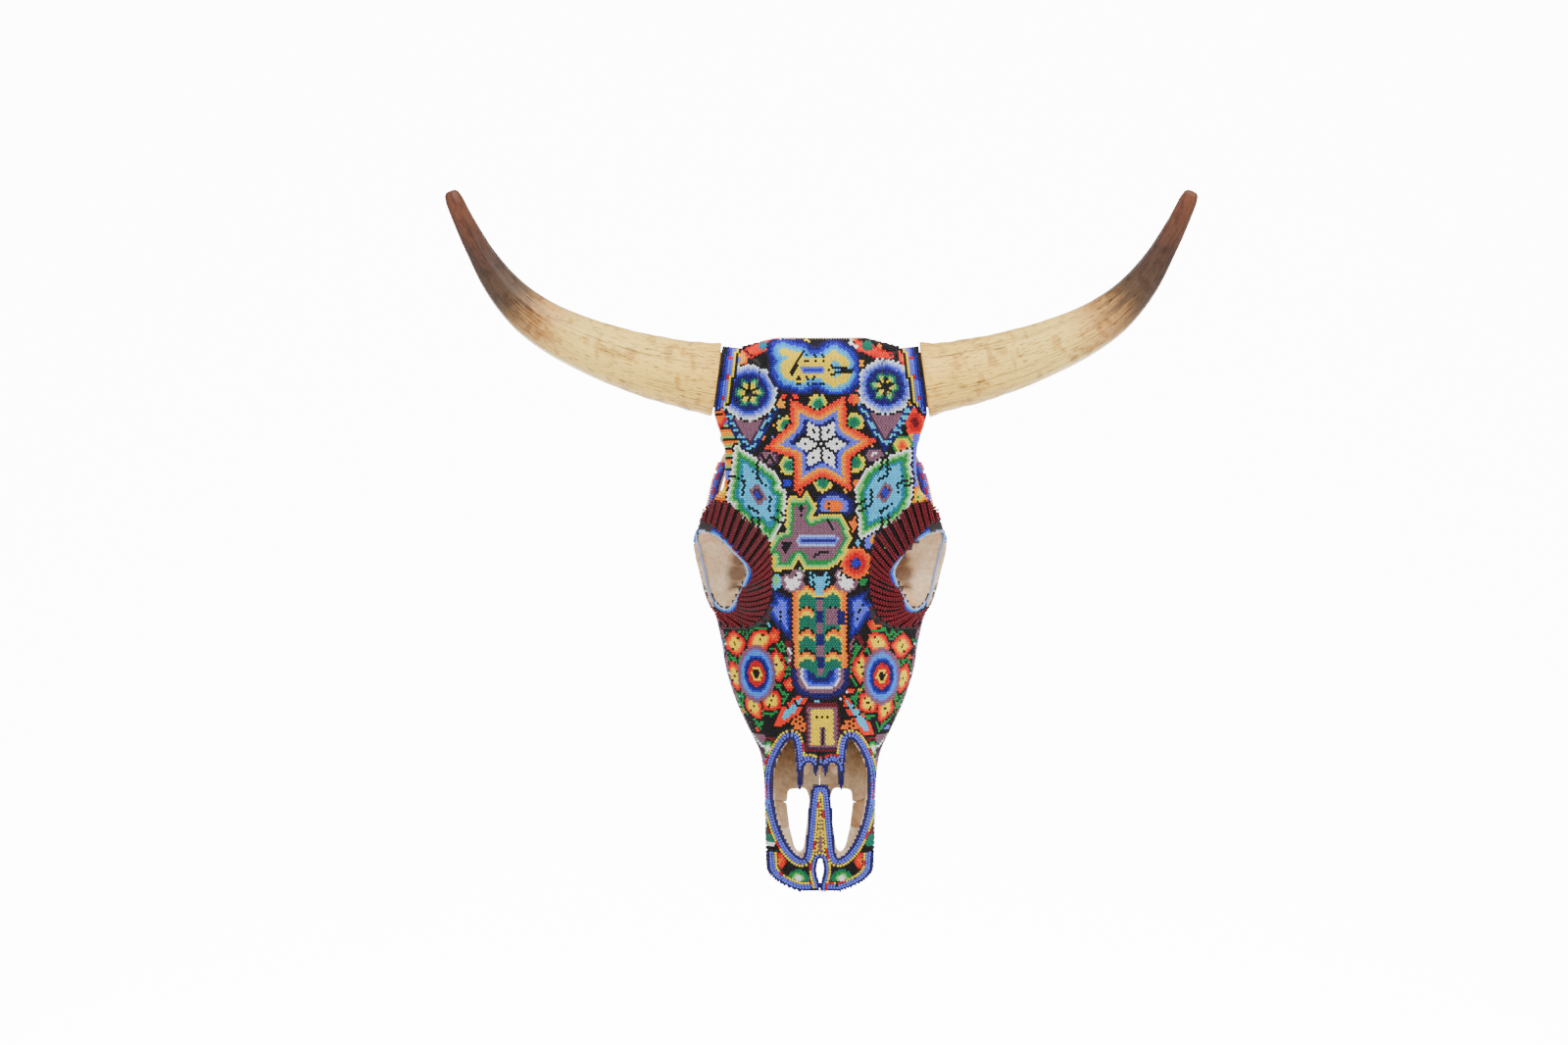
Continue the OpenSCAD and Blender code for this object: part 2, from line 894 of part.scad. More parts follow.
module forehead_zone() {
    through(-20, 30) translate([-120, 276]) square([240, 220]);
}

// Where beads stop and bare bone begins, towards the wall.
module beaded_zone() {
    across(-200, 200) polygon([
        [-20, -10], [-20, 490], [30, 490], [30, 330], [70, 322], [74, 262], [100, 236], [104, 200],
        [98, 150], [84, 120], [77, 95], [74, 54], [73, -10],
    ]);
}

module beads_eye(side) {
    color("maroon") intersection() {
        difference() {
            skin(ridge_t);
            ball([side * 84, 50, 244], 10, 12);
        }
        eye_zone();
        beaded_zone();
        half(side);
    }
}

module beads_forehead() {
    color("midnightblue") intersection() {
        difference() {
            skin(bead_t);
            nasal_cover_zone();
            eye_zone();
        }
        beaded_zone();
        forehead_zone();
    }
}

// The beaded outer side of the cheek arch.
module beads_arch(side) {
    color("orange") intersection() {
        difference() {
            cheek_arch(side, bead_t);
            cheek_arch(side);
            envelope(0.01);
            eye_bar(side, bead_t);
        }
        across(side == LEFT ? -200 : 80, side == LEFT ? -80 : 200) polygon([[40, 300], [40, 366], [120, 366], [120, 300]]);
        translate([0, -100, -100]) mirror([side == LEFT ? 1 : 0, 0, 0]) linear_extrude(800)
            polygon([[86 * k, 0], [200, 0], [200, 400], [95 * k, 400], [95 * k, 178 * k]]);
    }
}

module nasal_cover_zone(top = 276) {
    through(-20, 34) polygon([
        [26, top], [26, 140], [22, 134], [22, 80], [-22, 80], [-22, 134], [-26, 140], [-26, top],
    ]);
}

module beads_nasal() {
    color("gold") intersection() {
        skin(bead_t);
        nasal_cover_zone();
    }
}

module beads_cheek(side) {
    color("orangered") intersection() {
        difference() {
            skin(bead_t);
            nasal_cover_zone(280);
            eye_zone();
        }
        beaded_zone();
        translate([-300, -100, 137 * k]) cube([600, 400, 139 * k]);
        half(side);
    }
}

module beads_muzzle(side) {
    color("slateblue") intersection() {
        difference() {
            skin(bead_t);
            nasal_cover_zone();
        }
        beaded_zone();
        translate([-300, -100, -100]) cube([600, 400, 100 + 137 * k]);
        half(side);
    }
}

place() frontal(LEFT);  // frontal_left
place() frontal(RIGHT);  // frontal_right
place() horn_core(LEFT);  // horn_core_left
place() horn_core(RIGHT);  // horn_core_right
place() horn_sheath(LEFT);  // horn_sheath_left
place() horn_sheath(RIGHT);  // horn_sheath_right
place() nasal(LEFT);  // nasal_left
place() nasal(RIGHT);  // nasal_right
place() lacrimal(LEFT);  // lacrimal_left
place() lacrimal(RIGHT);  // lacrimal_right
place() zygomatic(LEFT);  // zygomatic_left
place() zygomatic(RIGHT);  // zygomatic_right
place() maxilla(LEFT);  // maxilla_left
place() maxilla(RIGHT);  // maxilla_right
place() premaxilla(LEFT);  // premaxilla_left
place() premaxilla(RIGHT);  // premaxilla_right
place() temporal(LEFT);  // temporal_left
place() temporal(RIGHT);  // temporal_right
place() palatine();
place() sphenoid();
place() parietal();
place() occipital();
place() vomer();
place() nasal_concha(LEFT);  // nasal_concha_left
place() nasal_concha(RIGHT);  // nasal_concha_right
place() color(enamel) tooth(LEFT, 0);  // premolar_2_left
place() color(enamel) tooth(LEFT, 1);  // premolar_3_left
place() color(enamel) tooth(LEFT, 2);  // premolar_4_left
place() color(enamel) tooth(LEFT, 3);  // molar_1_left
place() color(enamel) tooth(LEFT, 4);  // molar_2_left
place() color(enamel) tooth(LEFT, 5);  // molar_3_left
place() color(enamel) tooth(RIGHT, 0);  // premolar_2_right
place() color(enamel) tooth(RIGHT, 1);  // premolar_3_right
place() color(enamel) tooth(RIGHT, 2);  // premolar_4_right
place() color(enamel) tooth(RIGHT, 3);  // molar_1_right
place() color(enamel) tooth(RIGHT, 4);  // molar_2_right
place() color(enamel) tooth(RIGHT, 5);  // molar_3_right
place() beads_forehead();
place() beads_nasal();
place() beads_arch(LEFT);  // beads_arch_left
place() beads_arch(RIGHT);  // beads_arch_right
place() beads_cheek(LEFT);  // beads_cheek_left
place() beads_cheek(RIGHT);  // beads_cheek_right
place() beads_muzzle(LEFT);  // beads_muzzle_left
place() beads_muzzle(RIGHT);  // beads_muzzle_right
place() beads_eye(LEFT);  // beads_eye_left
place() beads_eye(RIGHT);  // beads_eye_right
place() beads_horn(LEFT);  // beads_horn_left
place() beads_horn(RIGHT);  // beads_horn_right
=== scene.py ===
# A cattle skull covered in seed beads, hung muzzle down, over a pale floor and before a far white screen.
# Sizes are in millimetres in skull coordinates until put() turns them into metres in the shared frame:
# x runs across the face, y from the forehead towards the wall, z up from the tip of the muzzle.
import math
import random

import bmesh
import bpy
import numpy as np
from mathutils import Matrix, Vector
from mathutils.bvhtree import BVHTree


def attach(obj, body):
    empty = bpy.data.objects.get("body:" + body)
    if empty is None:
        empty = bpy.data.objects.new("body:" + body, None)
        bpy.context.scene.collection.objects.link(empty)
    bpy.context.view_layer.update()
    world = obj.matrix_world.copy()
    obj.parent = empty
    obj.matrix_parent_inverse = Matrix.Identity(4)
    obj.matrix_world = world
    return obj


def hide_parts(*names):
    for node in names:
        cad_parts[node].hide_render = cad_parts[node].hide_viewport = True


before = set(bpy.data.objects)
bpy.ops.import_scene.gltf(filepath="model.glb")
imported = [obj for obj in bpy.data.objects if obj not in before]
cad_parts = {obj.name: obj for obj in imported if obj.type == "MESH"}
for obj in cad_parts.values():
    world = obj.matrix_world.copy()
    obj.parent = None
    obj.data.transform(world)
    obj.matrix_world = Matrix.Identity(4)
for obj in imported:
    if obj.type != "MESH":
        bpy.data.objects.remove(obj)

HOOK = np.array([0.0, 106.0, 426.0])  # the hook hole, which is the frame's origin
LEFT = -1
RIGHT = 1
dice = random.Random(7)


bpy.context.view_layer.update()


def put(points):
    """Skull coordinates in millimetres become frame coordinates in metres."""
    return (np.asarray(points, dtype=float) - HOOK) / 1000.0


def sided(name, side):
    """A name with its side, such as horn_left."""
    return name + ("_left" if side == LEFT else "_right")


def mirror(side):
    """What a point of the right side is multiplied by to lie on the given side."""
    return np.array([side, 1, 1])


def lengths_along(points):
    """The distance run at each point of a line."""
    return np.concatenate([[0], np.cumsum(np.linalg.norm(np.diff(points, axis=0), axis=1))])


def quads_between(start, rows, across, closed=True):
    """Four-cornered faces between neighbouring rows of points, which are numbered from start."""
    faces = []
    for row in range(rows - 1):
        for i in range(across if closed else across - 1):
            a = start + row * across + i
            b = start + row * across + (i + 1) % across
            faces.append((a, b, b + across, a + across))
    return faces


def new_object(name, data):
    """An object in the scene that shows the mesh, light or camera."""
    obj = bpy.data.objects.new(name, data)
    bpy.context.scene.collection.objects.link(obj)
    return obj


def new_mesh(name, verts, faces):
    """An object with a mesh of points in skull coordinates."""
    mesh = bpy.data.meshes.new(name)
    mesh.from_pydata([tuple(v) for v in put(verts)], [], faces)
    return new_object(name, mesh)


# ---------- shape of the skull ----------

# [z, front y, shoulder x, y, side x, y, lower side x, y, bottom corner x, y, back y]
SECTIONS = np.array([
    [0, 66, 12, 66.5, 17, 69, 16, 73, 11, 75, 75],
    [6, 63, 20, 64, 31, 68, 30, 74, 22, 77, 76],
    [16, 58, 32, 59.5, 42, 65, 41, 73, 31, 79, 78],
    [29, 53, 35, 56, 44, 63, 43, 73, 34, 81, 80],
    [54, 42, 35, 47, 44.5, 58, 44, 71, 36, 85, 83],
    [95, 25, 33, 33, 45, 48, 45, 70, 38, 94, 92],
    [120, 16, 30, 23, 48, 46, 48, 76, 40, 104, 100],
    [142, 11, 32, 18, 56, 46, 60, 84, 48, 122, 108],
    [165, 8, 34, 15, 66, 49, 70, 90, 54, 132, 114],
    [190, 5, 38, 12, 75, 53, 76, 92, 57, 135, 118],
    [215, 3, 43, 10, 80, 57, 79, 96, 59, 136, 121],
    [240, 1, 52, 8, 87, 58, 82, 97, 58, 134, 122],
    [262, 0, 58, 7, 94, 60, 86, 90, 56, 126, 118],
    [285, 0, 62, 6, 100, 55, 84, 82, 50, 114, 113],
    [307, 0, 66, 6, 104.5, 38, 80, 68, 46, 106, 111],
    [321, 0, 66, 6, 100, 30, 66, 56, 44, 102, 110],
    [334, 0, 64, 5, 91, 20, 57, 46, 43, 100, 109],
    [348, 0, 62, 4, 80, 13, 54, 40, 43, 100, 110],
    [378, 0, 62, 3, 79, 12, 53, 40, 46, 104, 115],
    [402, 0, 66, 3, 86, 17, 56, 44, 52, 106, 119],
    [418, 0, 66, 3, 90, 22, 68, 52, 54, 102, 112],
    [438, 1, 64, 4, 87, 24, 77, 53, 54, 88, 95],
    [452, 4, 60, 7, 82, 24, 74, 48, 50, 72, 78],
    [463, 11, 50, 11, 70, 24, 64, 42, 42, 54, 58],
    [471, 20, 32, 19, 40, 26, 35, 34, 22, 38, 38],
])
ROW_STEPS = 8  # rows of the grid from one section to the next
LOOP_STEPS = 20  # grid points from one corner of a section to the next


def spline(a, b, c, d, t):
    """Catmull-Rom curve from b to c."""
    return 0.5 * (2 * b + (c - a) * t + (2 * a - 5 * b + 4 * c - d) * t * t
                  + (3 * b - a - 3 * c + d) * t ** 3)


def section_rows():
    """The section table, filled in with a smooth curve."""
    last = len(SECTIONS) - 1
    rows = []
    for i in range(last):
        a = SECTIONS[max(i - 1, 0)]
        b = SECTIONS[i]
        c = SECTIONS[i + 1]
        d = SECTIONS[min(i + 2, last)]
        for j in range(ROW_STEPS):
            rows.append(spline(a, b, c, d, j / ROW_STEPS))
    rows.append(SECTIONS[last])
    return np.array(rows)


def loop_points(s):
    """The points round one section, from the middle of the front, across +x, and back."""
    brow = (s[2] * 0.5, s[1] + (s[3] - s[1]) * 0.25)
    half = [brow, (s[2], s[3]), (s[4], s[5]), (s[6], s[7]), (s[8], s[9])]
    other = [(-x, y) for x, y in reversed(half)]
    p = np.array([(0, s[1])] + half + [(0, s[10])] + other)
    n = len(p)
    out = []
    for i in range(n):
        for j in range(LOOP_STEPS):
            out.append(spline(p[i - 1], p[i], p[(i + 1) % n], p[(i + 2) % n], j / LOOP_STEPS))
    return np.array(out)


def skull_grid():
    """Rings of points over the skull: [ring, point round it, x y z]."""
    grid = []
    for s in section_rows():
        ring = loop_points(s)
        z = np.full((len(ring), 1), s[0])
        grid.append(np.hstack([ring, z]))
    return np.array(grid)


GRID = skull_grid()
RINGS = GRID.shape[0]
AROUND = GRID.shape[1]
HALF = AROUND // 2


def grid_normals(grid):
    """Outward directions at every grid point."""
    along = np.gradient(grid, axis=0)
    across = np.roll(grid, -1, axis=1) - np.roll(grid, 1, axis=1)
    n = np.cross(across, along)
    return n / np.maximum(np.linalg.norm(n, axis=2, keepdims=True), 1e-9)


NORMALS = grid_normals(GRID)


# ---------- bones, smoothed from the shared frame's solids ----------

def mesh_copy(node, name):
    """A new object with its own copy of a CAD node's mesh."""
    obj = new_object(name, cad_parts[node].data.copy())
    obj.data.materials.clear()
    return obj


def noise_texture(name, size):
    """A cloudy texture whose clouds are so many metres wide."""
    t = bpy.data.textures.new(name, "CLOUDS")
    t.noise_scale = size
    return t


def bake_modifiers(obj):
    """Turns the object's modifiers into plain geometry."""
    graph = bpy.context.evaluated_depsgraph_get()
    mesh = bpy.data.meshes.new_from_object(obj.evaluated_get(graph))
    old = obj.data
    obj.modifiers.clear()
    obj.data = mesh
    bpy.data.meshes.remove(old)


# places where shade is painted onto the bone, deep in the eye sockets and the nose, with their radius
SHADED_HOLLOWS = [
    ((71, 64, 273), 13), ((69, 64, 286), 12), ((72, 64, 261), 11), ((62, 40, 286), 13),
    ((20, 60, 128), 20), ((0, 84, 130), 22), ((38, 66, 128), 12),
]


def paint_hollow_shade(obj):
    """Marks how deep each point lies in a hollow, from 0 to 1, as the strength of the shade painted there."""
    co = np.empty(len(obj.data.vertices) * 3)
    obj.data.vertices.foreach_get("co", co)
    p = co.reshape(-1, 3) * 1000 + HOOK
    p[:, 0] = np.abs(p[:, 0])
    dark = np.zeros(len(p))
    for centre, radius in SHADED_HOLLOWS:
        away = np.linalg.norm(p - np.array(centre), axis=1) / radius
        dark = np.maximum(dark, np.clip(1.6 - 1.6 * away, 0, 0.85))
    # painted shade, kept in the hollow attribute
    layer = obj.data.attributes.new("hollow", "FLOAT", "POINT")
    layer.data.foreach_set("value", dark.astype(np.float32))


LUMPS = noise_texture("lumps", 0.03)
PORES = noise_texture("pores", 0.004)


def organic(node, name, material, voxel, smooth, lumps, pores, body="skull"):
    """A CAD solid with its facets smoothed away, a natural, uneven surface and painted shade in its hollows.
    """
    obj = mesh_copy(node, name)
    remesh = obj.modifiers.new("remesh", "REMESH")
    remesh.mode = "VOXEL"
    remesh.voxel_size = voxel / 1000
    soft = obj.modifiers.new("smooth", "SMOOTH")
    soft.factor = 0.6
    soft.iterations = smooth
    for texture, strength in ((LUMPS, lumps), (PORES, pores)):
        bump = obj.modifiers.new("bump", "DISPLACE")
        bump.texture = texture
        bump.texture_coords = "LOCAL"
        bump.strength = strength / 1000
        bump.mid_level = 0.5
    bake_modifiers(obj)
    paint_hollow_shade(obj)
    obj.data.shade_smooth()
    obj.data.materials.append(material)
    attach(obj, body)
    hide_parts(node)
    return obj


# ---------- materials ----------

def new_material(name, colour, roughness, coat=0.0, specular=0.5):
    """A plain material of one colour."""
    m = bpy.data.materials.new(name)
    m.use_nodes = True
    shader = m.node_tree.nodes["Principled BSDF"]
    shader.inputs["Base Color"].default_value = (*colour, 1)
    shader.inputs["Roughness"].default_value = roughness
    shader.inputs["Specular IOR Level"].default_value = specular
    shader.inputs["Coat Weight"].default_value = coat
    shader.inputs["Coat Roughness"].default_value = 0.08
    return m


def linear(r, g, b):
    """A screen colour from 0 to 255 as the linear values that shaders take."""
    def one(v):
        v = v / 255
        return v / 12.92 if v <= 0.04045 else ((v + 0.055) / 1.055) ** 2.4
    return one(r), one(g), one(b)


class Nodes:
    """Short ways to add and link shader nodes in one material."""

    def __init__(self, material):
        self.tree = material.node_tree
        self.shader = self.tree.nodes["Principled BSDF"]

    def add(self, kind, **values):
        n = self.tree.nodes.new(kind)
        for key, value in values.items():
            if key in n.inputs:
                n.inputs[key].default_value = value
            else:
                setattr(n, key, value)
        return n

    def link(self, a, b):
        self.tree.links.new(a, b)

    def noise(self, vector, scale, detail=4.0, roughness=0.6):
        n = self.add("ShaderNodeTexNoise", Scale=scale, Detail=detail, Roughness=roughness)
        if vector is not None:
            self.link(vector, n.inputs["Vector"])
        return n.outputs["Fac"]

    def ramp(self, value, stops):
        n = self.tree.nodes.new("ShaderNodeValToRGB")
        while len(n.color_ramp.elements) < len(stops):
            n.color_ramp.elements.new(0.5)
        for element, (position, colour) in zip(n.color_ramp.elements, stops):
            element.position = position
            element.color = (*colour, 1)
        self.link(value, n.inputs["Fac"])
        return n.outputs["Color"]

    def mix(self, factor, a, b, blend="MIX"):
        n = self.tree.nodes.new("ShaderNodeMix")
        n.data_type = "RGBA"
        n.blend_type = blend
        for socket, value in ((n.inputs["Factor"], factor), (n.inputs["A"], a), (n.inputs["B"], b)):
            if hasattr(value, "is_linked"):
                self.link(value, socket)
            elif isinstance(value, tuple):
                socket.default_value = (*value, 1)
            else:
                socket.default_value = value
        return n.outputs["Result"]

    def stretch(self, vector, x, y, z):
        n = self.add("ShaderNodeMapping", Scale=(x, y, z))
        self.link(vector, n.inputs["Vector"])
        return n.outputs["Vector"]

    def bump(self, height, strength, distance):
        n = self.add("ShaderNodeBump", Strength=strength, Distance=distance)
        self.link(height, n.inputs["Height"])
        self.link(n.outputs["Normal"], self.shader.inputs["Normal"])


def bone_material(name, light, dark):
    """Dry bone with blotches, fine veins and pores."""
    m = new_material(name, light, 0.62, specular=0.3)
    k = Nodes(m)
    where = k.add("ShaderNodeTexCoord").outputs["Object"]
    blotch = k.noise(where, 22.0, 5.0, 0.65)
    base = k.ramp(blotch, [(0.34, dark), (0.62, light)])
    fine = k.noise(where, 260.0, 4.0, 0.7)
    grain = k.ramp(fine, [(0.36, (0.62, 0.55, 0.46)), (0.6, (1, 1, 1))])
    colour = k.mix(0.55, base, grain, "MULTIPLY")
    # painted shade: the bone turns dark brown where the hollow attribute marks the eye sockets and the nose
    shade = k.add("ShaderNodeAttribute", attribute_name="hollow").outputs["Fac"]
    colour = k.mix(shade, colour, linear(92, 58, 36))
    k.link(colour, k.shader.inputs["Base Color"])
    k.bump(fine, 0.25, 0.0006)
    return m


BONE = bone_material("bone", linear(244, 220, 184), linear(204, 158, 112))
CORE_BONE = bone_material("core_bone", linear(205, 172, 130), linear(140, 104, 70))
ENAMEL = bone_material("enamel", linear(232, 218, 184), linear(150, 112, 70))


# ---------- horns ----------

HORN_BASE = np.array([88.0, 27.0, 438.0])  # middle of the right horn's mouth
HORN_LEAN = math.radians(18)  # how far the plane of the horns leans back
HORN_RISE = 8.0  # upward angle at the mouth, in degrees
CORE_ARC = 430.0  # radius of the arc that each bony core follows
CORE_LENGTH = 150.0
CORE_RADIUS = 24.0  # at the mouth
ROOT_RADIUS = CORE_RADIUS * 1.04  # of the bone inside the collar
ROOT_START = -34  # where the collar begins, along the horn
SHEATH_GAP = 1.0
SHEATH_AROUND = 64  # points round the sheath
HORN_LENGTH = 292.0
# length from the mouth, and radius
SHEATH_RADII = [(0, 31.5), (12, 30.2), (45, 28), (77, 26), (121, 22.6), (170, 18.8), (205, 14.6),
                (235, 11.2), (262, 9.4), (284, 8), (290, 6.6), (292, 4.5)]


def ease(t):
    """A smooth step from 0 to 1."""
    t = min(max(t, 0.0), 1.0)
    return t * t * (3 - 2 * t)


def core_heading(s):
    """Upward angle, in degrees, of the bony core's centre line at length s."""
    return HORN_RISE + math.degrees(s / CORE_ARC)


def horn_heading(s):
    """The same for the sheath, which curves up more towards its tip."""
    return core_heading(s) + 23 * ease((s - 120) / 115)


def in_plane(side, degrees):
    """A direction in the leaning plane of one horn."""
    a = math.radians(degrees)
    rise = math.sin(a)
    return np.array([side * math.cos(a), -rise * math.sin(HORN_LEAN), rise * math.cos(HORN_LEAN)])


ACROSS_HORN = np.array([0, math.cos(HORN_LEAN), math.sin(HORN_LEAN)])


def horn_line(side, first, last, steps, heading):
    """Centre line points and headings at even steps from length first to last."""
    p = HORN_BASE * mirror(side)
    for i in range(20):
        p = p + first / 20 * in_plane(side, heading(first * (i + 0.5) / 20))
    step = (last - first) / steps
    out = []
    for i in range(steps + 1):
        s = first + i * step
        out.append((s, p.copy(), heading(s)))
        p = p + step * in_plane(side, heading(s + step / 2))
    return out


def sheath_radius(s):
    return float(np.interp(s, [a for a, b in SHEATH_RADII], [b for a, b in SHEATH_RADII]))


def core_radius(s):
    swell = 1.04 if s < 0 else 1.0
    return CORE_RADIUS * (1 - (max(s, 0) / (CORE_LENGTH * 1.04)) ** 1.5 * 0.78) * swell


def horn_material():
    """Keratin: cream at the root, grey-brown streaks, red-brown at the tip."""
    m = new_material("horn", (0.6, 0.45, 0.28), 0.45, coat=0.06, specular=0.3)
    k = Nodes(m)
    k.shader.inputs["Coat Roughness"].default_value = 0.35
    place = k.add("ShaderNodeAttribute", attribute_name="horn_place").outputs["Vector"]
    split = k.add("ShaderNodeSeparateXYZ")
    k.link(place, split.inputs[0])
    along = split.outputs[2]
    streaks = k.noise(k.stretch(place, 9.0, 9.0, 1.3), 2.4, 8.0, 0.72)
    growth = k.noise(k.stretch(place, 1.6, 1.6, 36.0), 1.0, 3.0, 0.5)
    wander = k.add("ShaderNodeMath", operation="MULTIPLY_ADD")
    k.link(streaks, wander.inputs[0])
    wander.inputs[1].default_value = 0.45
    k.link(along, wander.inputs[2])
    base = k.ramp(wander.outputs[0], [
        (0.12, linear(240, 168, 62)),
        (0.28, linear(255, 206, 84)),
        (0.57, linear(255, 216, 104)),
        (0.66, linear(214, 158, 84)),
        (0.73, linear(84, 62, 40)),
        (0.86, linear(66, 42, 28)),
        (1.0, linear(104, 56, 32)),
    ])
    dark = k.ramp(streaks, [(0.37, linear(70, 46, 28)), (0.46, (1.0, 1.0, 1.0))])
    colour = k.mix(0.88, base, dark, "MULTIPLY")
    pale = k.ramp(growth, [(0.36, (0.5, 0.34, 0.2)), (0.47, (1, 1, 1))])
    colour = k.mix(0.6, colour, pale, "MULTIPLY")
    spots = k.noise(k.stretch(place, 14.0, 14.0, 22.0), 2.0, 2.0, 0.5)
    specks = k.ramp(spots, [(0.34, linear(96, 64, 38)), (0.43, (1, 1, 1))])
    colour = k.mix(0.8, colour, specks, "MULTIPLY")
    k.link(colour, k.shader.inputs["Base Color"])
    k.bump(streaks, 0.35, 0.0008)
    return m


def uneven(s, a, side):
    """How far the horn's surface strays from round, in millimetres."""
    near_root = math.exp(-s / 55)
    rings = 0.35 * math.sin(s / 2.6 + 0.5 * math.sin(a)) + 0.5 * math.sin(s / 6.3 + side)
    grooves = 0.22 * math.sin(9 * a + s / 40) + 0.15 * math.sin(17 * a - s / 25)
    lip = 0.7 * math.exp(-abs(s - 2) / 3)
    return near_root * rings + grooves + lip


def horn_sheath(side):
    """A hollow horn, with growth rings near its mouth."""
    outer = horn_line(side, 0, HORN_LENGTH, 150, horn_heading)
    inner = horn_line(side, 0, CORE_LENGTH + 5, 50, core_heading)
    verts = []
    places = []

    def ring(s, centre, heading, radius, rough):
        u = in_plane(side, heading + 90)
        for i in range(SHEATH_AROUND):
            a = 2 * math.pi * i / SHEATH_AROUND
            r = radius + (uneven(s, a, side) - 0.6 if rough else 0)
            verts.append(centre + r * (math.cos(a) * u + math.sin(a) * ACROSS_HORN))
            places.append((math.cos(a), math.sin(a) + 3 * side, 0.8 * s / HORN_LENGTH))

    for s, p, heading in outer:
        ring(s, p, heading, sheath_radius(s), True)
    count = len(outer)
    for s, p, heading in inner:
        ring(s, p, heading, core_radius(min(s - 3, CORE_LENGTH)) + SHEATH_GAP, False)
    bore = count * SHEATH_AROUND
    faces = [quad[::-1] for quad in quads_between(0, count, SHEATH_AROUND)]
    faces += quads_between(bore, len(inner), SHEATH_AROUND)
    for j in range(SHEATH_AROUND):
        b = (j + 1) % SHEATH_AROUND
        faces.append((j, b, bore + b, bore + j))
    tip = bore - SHEATH_AROUND
    end = bore + (len(inner) - 1) * SHEATH_AROUND
    faces.append([tip + j for j in range(SHEATH_AROUND)])
    faces.append([end + j for j in range(SHEATH_AROUND)][::-1])
    obj = new_mesh(sided("horn", side), verts, faces)
    mesh = obj.data
    layer = mesh.attributes.new("horn_place", "FLOAT_VECTOR", "POINT")
    layer.data.foreach_set("vector", np.array(places, dtype=np.float32).ravel())
    tidy = bmesh.new()
    tidy.from_mesh(mesh)
    bmesh.ops.recalc_face_normals(tidy, faces=tidy.faces)
    tidy.to_mesh(mesh)
    tidy.free()
    mesh.shade_smooth()
    mesh.materials.append(HORN)
    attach(obj, sided("horn", side))
    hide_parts(sided("horn_sheath", side))


HORN = horn_material()


# ---------- openings, seen from the front ----------

NOSE_HALF = [(0, 112), (1.5, 111), (3, 104), (5, 104), (7, 112), (10, 114), (14, 110), (16, 92), (19, 92),
             (22, 128), (26, 134), (34, 122), (39, 107), (40, 88), (37.5, 69), (32.5, 52), (26, 39),
             (18, 31), (13.6, 33), (11, 56), (9, 80), (7, 92), (3, 95)]
NOSE_EDGE = NOSE_HALF + [(-x, z) for x, z in reversed(NOSE_HALF[1:])]
SLOT_EDGE = [(0.1, 0), (0.3, 7), (2.0, 12), (3.1, 18), (2.6, 24), (1, 29), (-1, 29), (-2.6, 24), (-3.1, 18),
             (-2.0, 12), (-0.3, 7), (-0.1, 0)]
EYE_RIM = np.array([
    [104, 37, 309], [89, 21, 306], [73, 11, 290], [61, 8, 278], [65, 11, 267], [73, 20, 255],
    [76, 31, 247], [83, 44, 243], [91, 57, 249], [96, 64, 262], [99, 62, 277], [103, 52, 295],
], dtype=float)
EYE_APEX = np.array([34.0, 62.0, 290.0])
EYE_MIDDLE = np.array([85.0, 36.0, 277.0])
EYE_OUT = np.array([0.84, -0.54, 0.0])  # the way the right eye socket faces
EYE_BACK = np.array([0.54, 0.84, 0.0])


def smooth_closed(points, steps):
    """A smooth closed curve through the points."""
    p = np.array(points, dtype=float)
    n = len(p)
    out = []
    for i in range(n):
        for j in range(steps):
            out.append(spline(p[i - 1], p[i], p[(i + 1) % n], p[(i + 2) % n], j / steps))
    return np.array(out)


def inside(polygon, x, z):
    """True if the point is inside the outline."""
    odd = False
    j = len(polygon) - 1
    for i in range(len(polygon)):
        xi, zi = polygon[i]
        xj, zj = polygon[j]
        if (zi > z) != (zj > z) and x < (xj - xi) * (z - zi) / (zj - zi) + xi:
            odd = not odd
        j = i
    return odd


def depth_in(polygon, x, z, closed=True):
    """Distance to the outline: positive inside it, negative outside."""
    best = 1e9
    n = len(polygon)
    for i in range(n if closed else n - 1):
        ax, az = polygon[i]
        bx, bz = polygon[(i + 1) % n]
        dx = bx - ax
        dz = bz - az
        t = ((x - ax) * dx + (z - az) * dz) / max(dx * dx + dz * dz, 1e-9)
        t = min(max(t, 0.0), 1.0)
        d = (x - ax - t * dx) ** 2 + (z - az - t * dz) ** 2
        best = min(best, d)
    best = math.sqrt(best)
    return best if closed and inside(polygon, x, z) else -best


EYE_SMOOTH = smooth_closed(EYE_RIM, 6)
NOSE_SMOOTH = [(x, z) for x, z in smooth_closed(NOSE_EDGE, 3)]


def eye_flat(p):
    """A point seen from the apex of the right eye socket, as flat coordinates."""
    d = p - EYE_APEX
    depth = max(float(d @ EYE_OUT), 1e-3)
    return float(d @ EYE_BACK) / depth, float(d[2]) / depth


EYE_FLAT = [eye_flat(p) for p in EYE_SMOOTH]


def in_eye(p, margin=0.0):
    """True if the point is in the mouth of an eye socket."""
    q = np.array([abs(p[0]), p[1], p[2]])
    d = q - EYE_APEX
    depth = float(d @ EYE_OUT)
    if depth < 10:
        return False
    x, z = eye_flat(q)
    return depth_in(EYE_FLAT, x, z) * depth > -margin


def in_collar(p, margin):
    """True if the point is inside the beaded collar of a horn."""
    side = RIGHT if p[0] > 0 else LEFT
    d = np.array(p) - HORN_BASE * mirror(side)
    axis = in_plane(side, HORN_RISE)
    along = float(d @ axis)
    away = np.linalg.norm(d - along * axis)
    return ROOT_START < along and away < ROOT_RADIUS + 2.6 + margin


# what the beads cover seen from the side, as y and z
BEADED_SIDE = [(-20, -10), (-20, 490), (30, 490), (30, 330), (70, 322), (74, 262), (100, 236), (104, 200),
               (98, 150), (84, 120), (77, 95), (74, 54), (73, -10)]
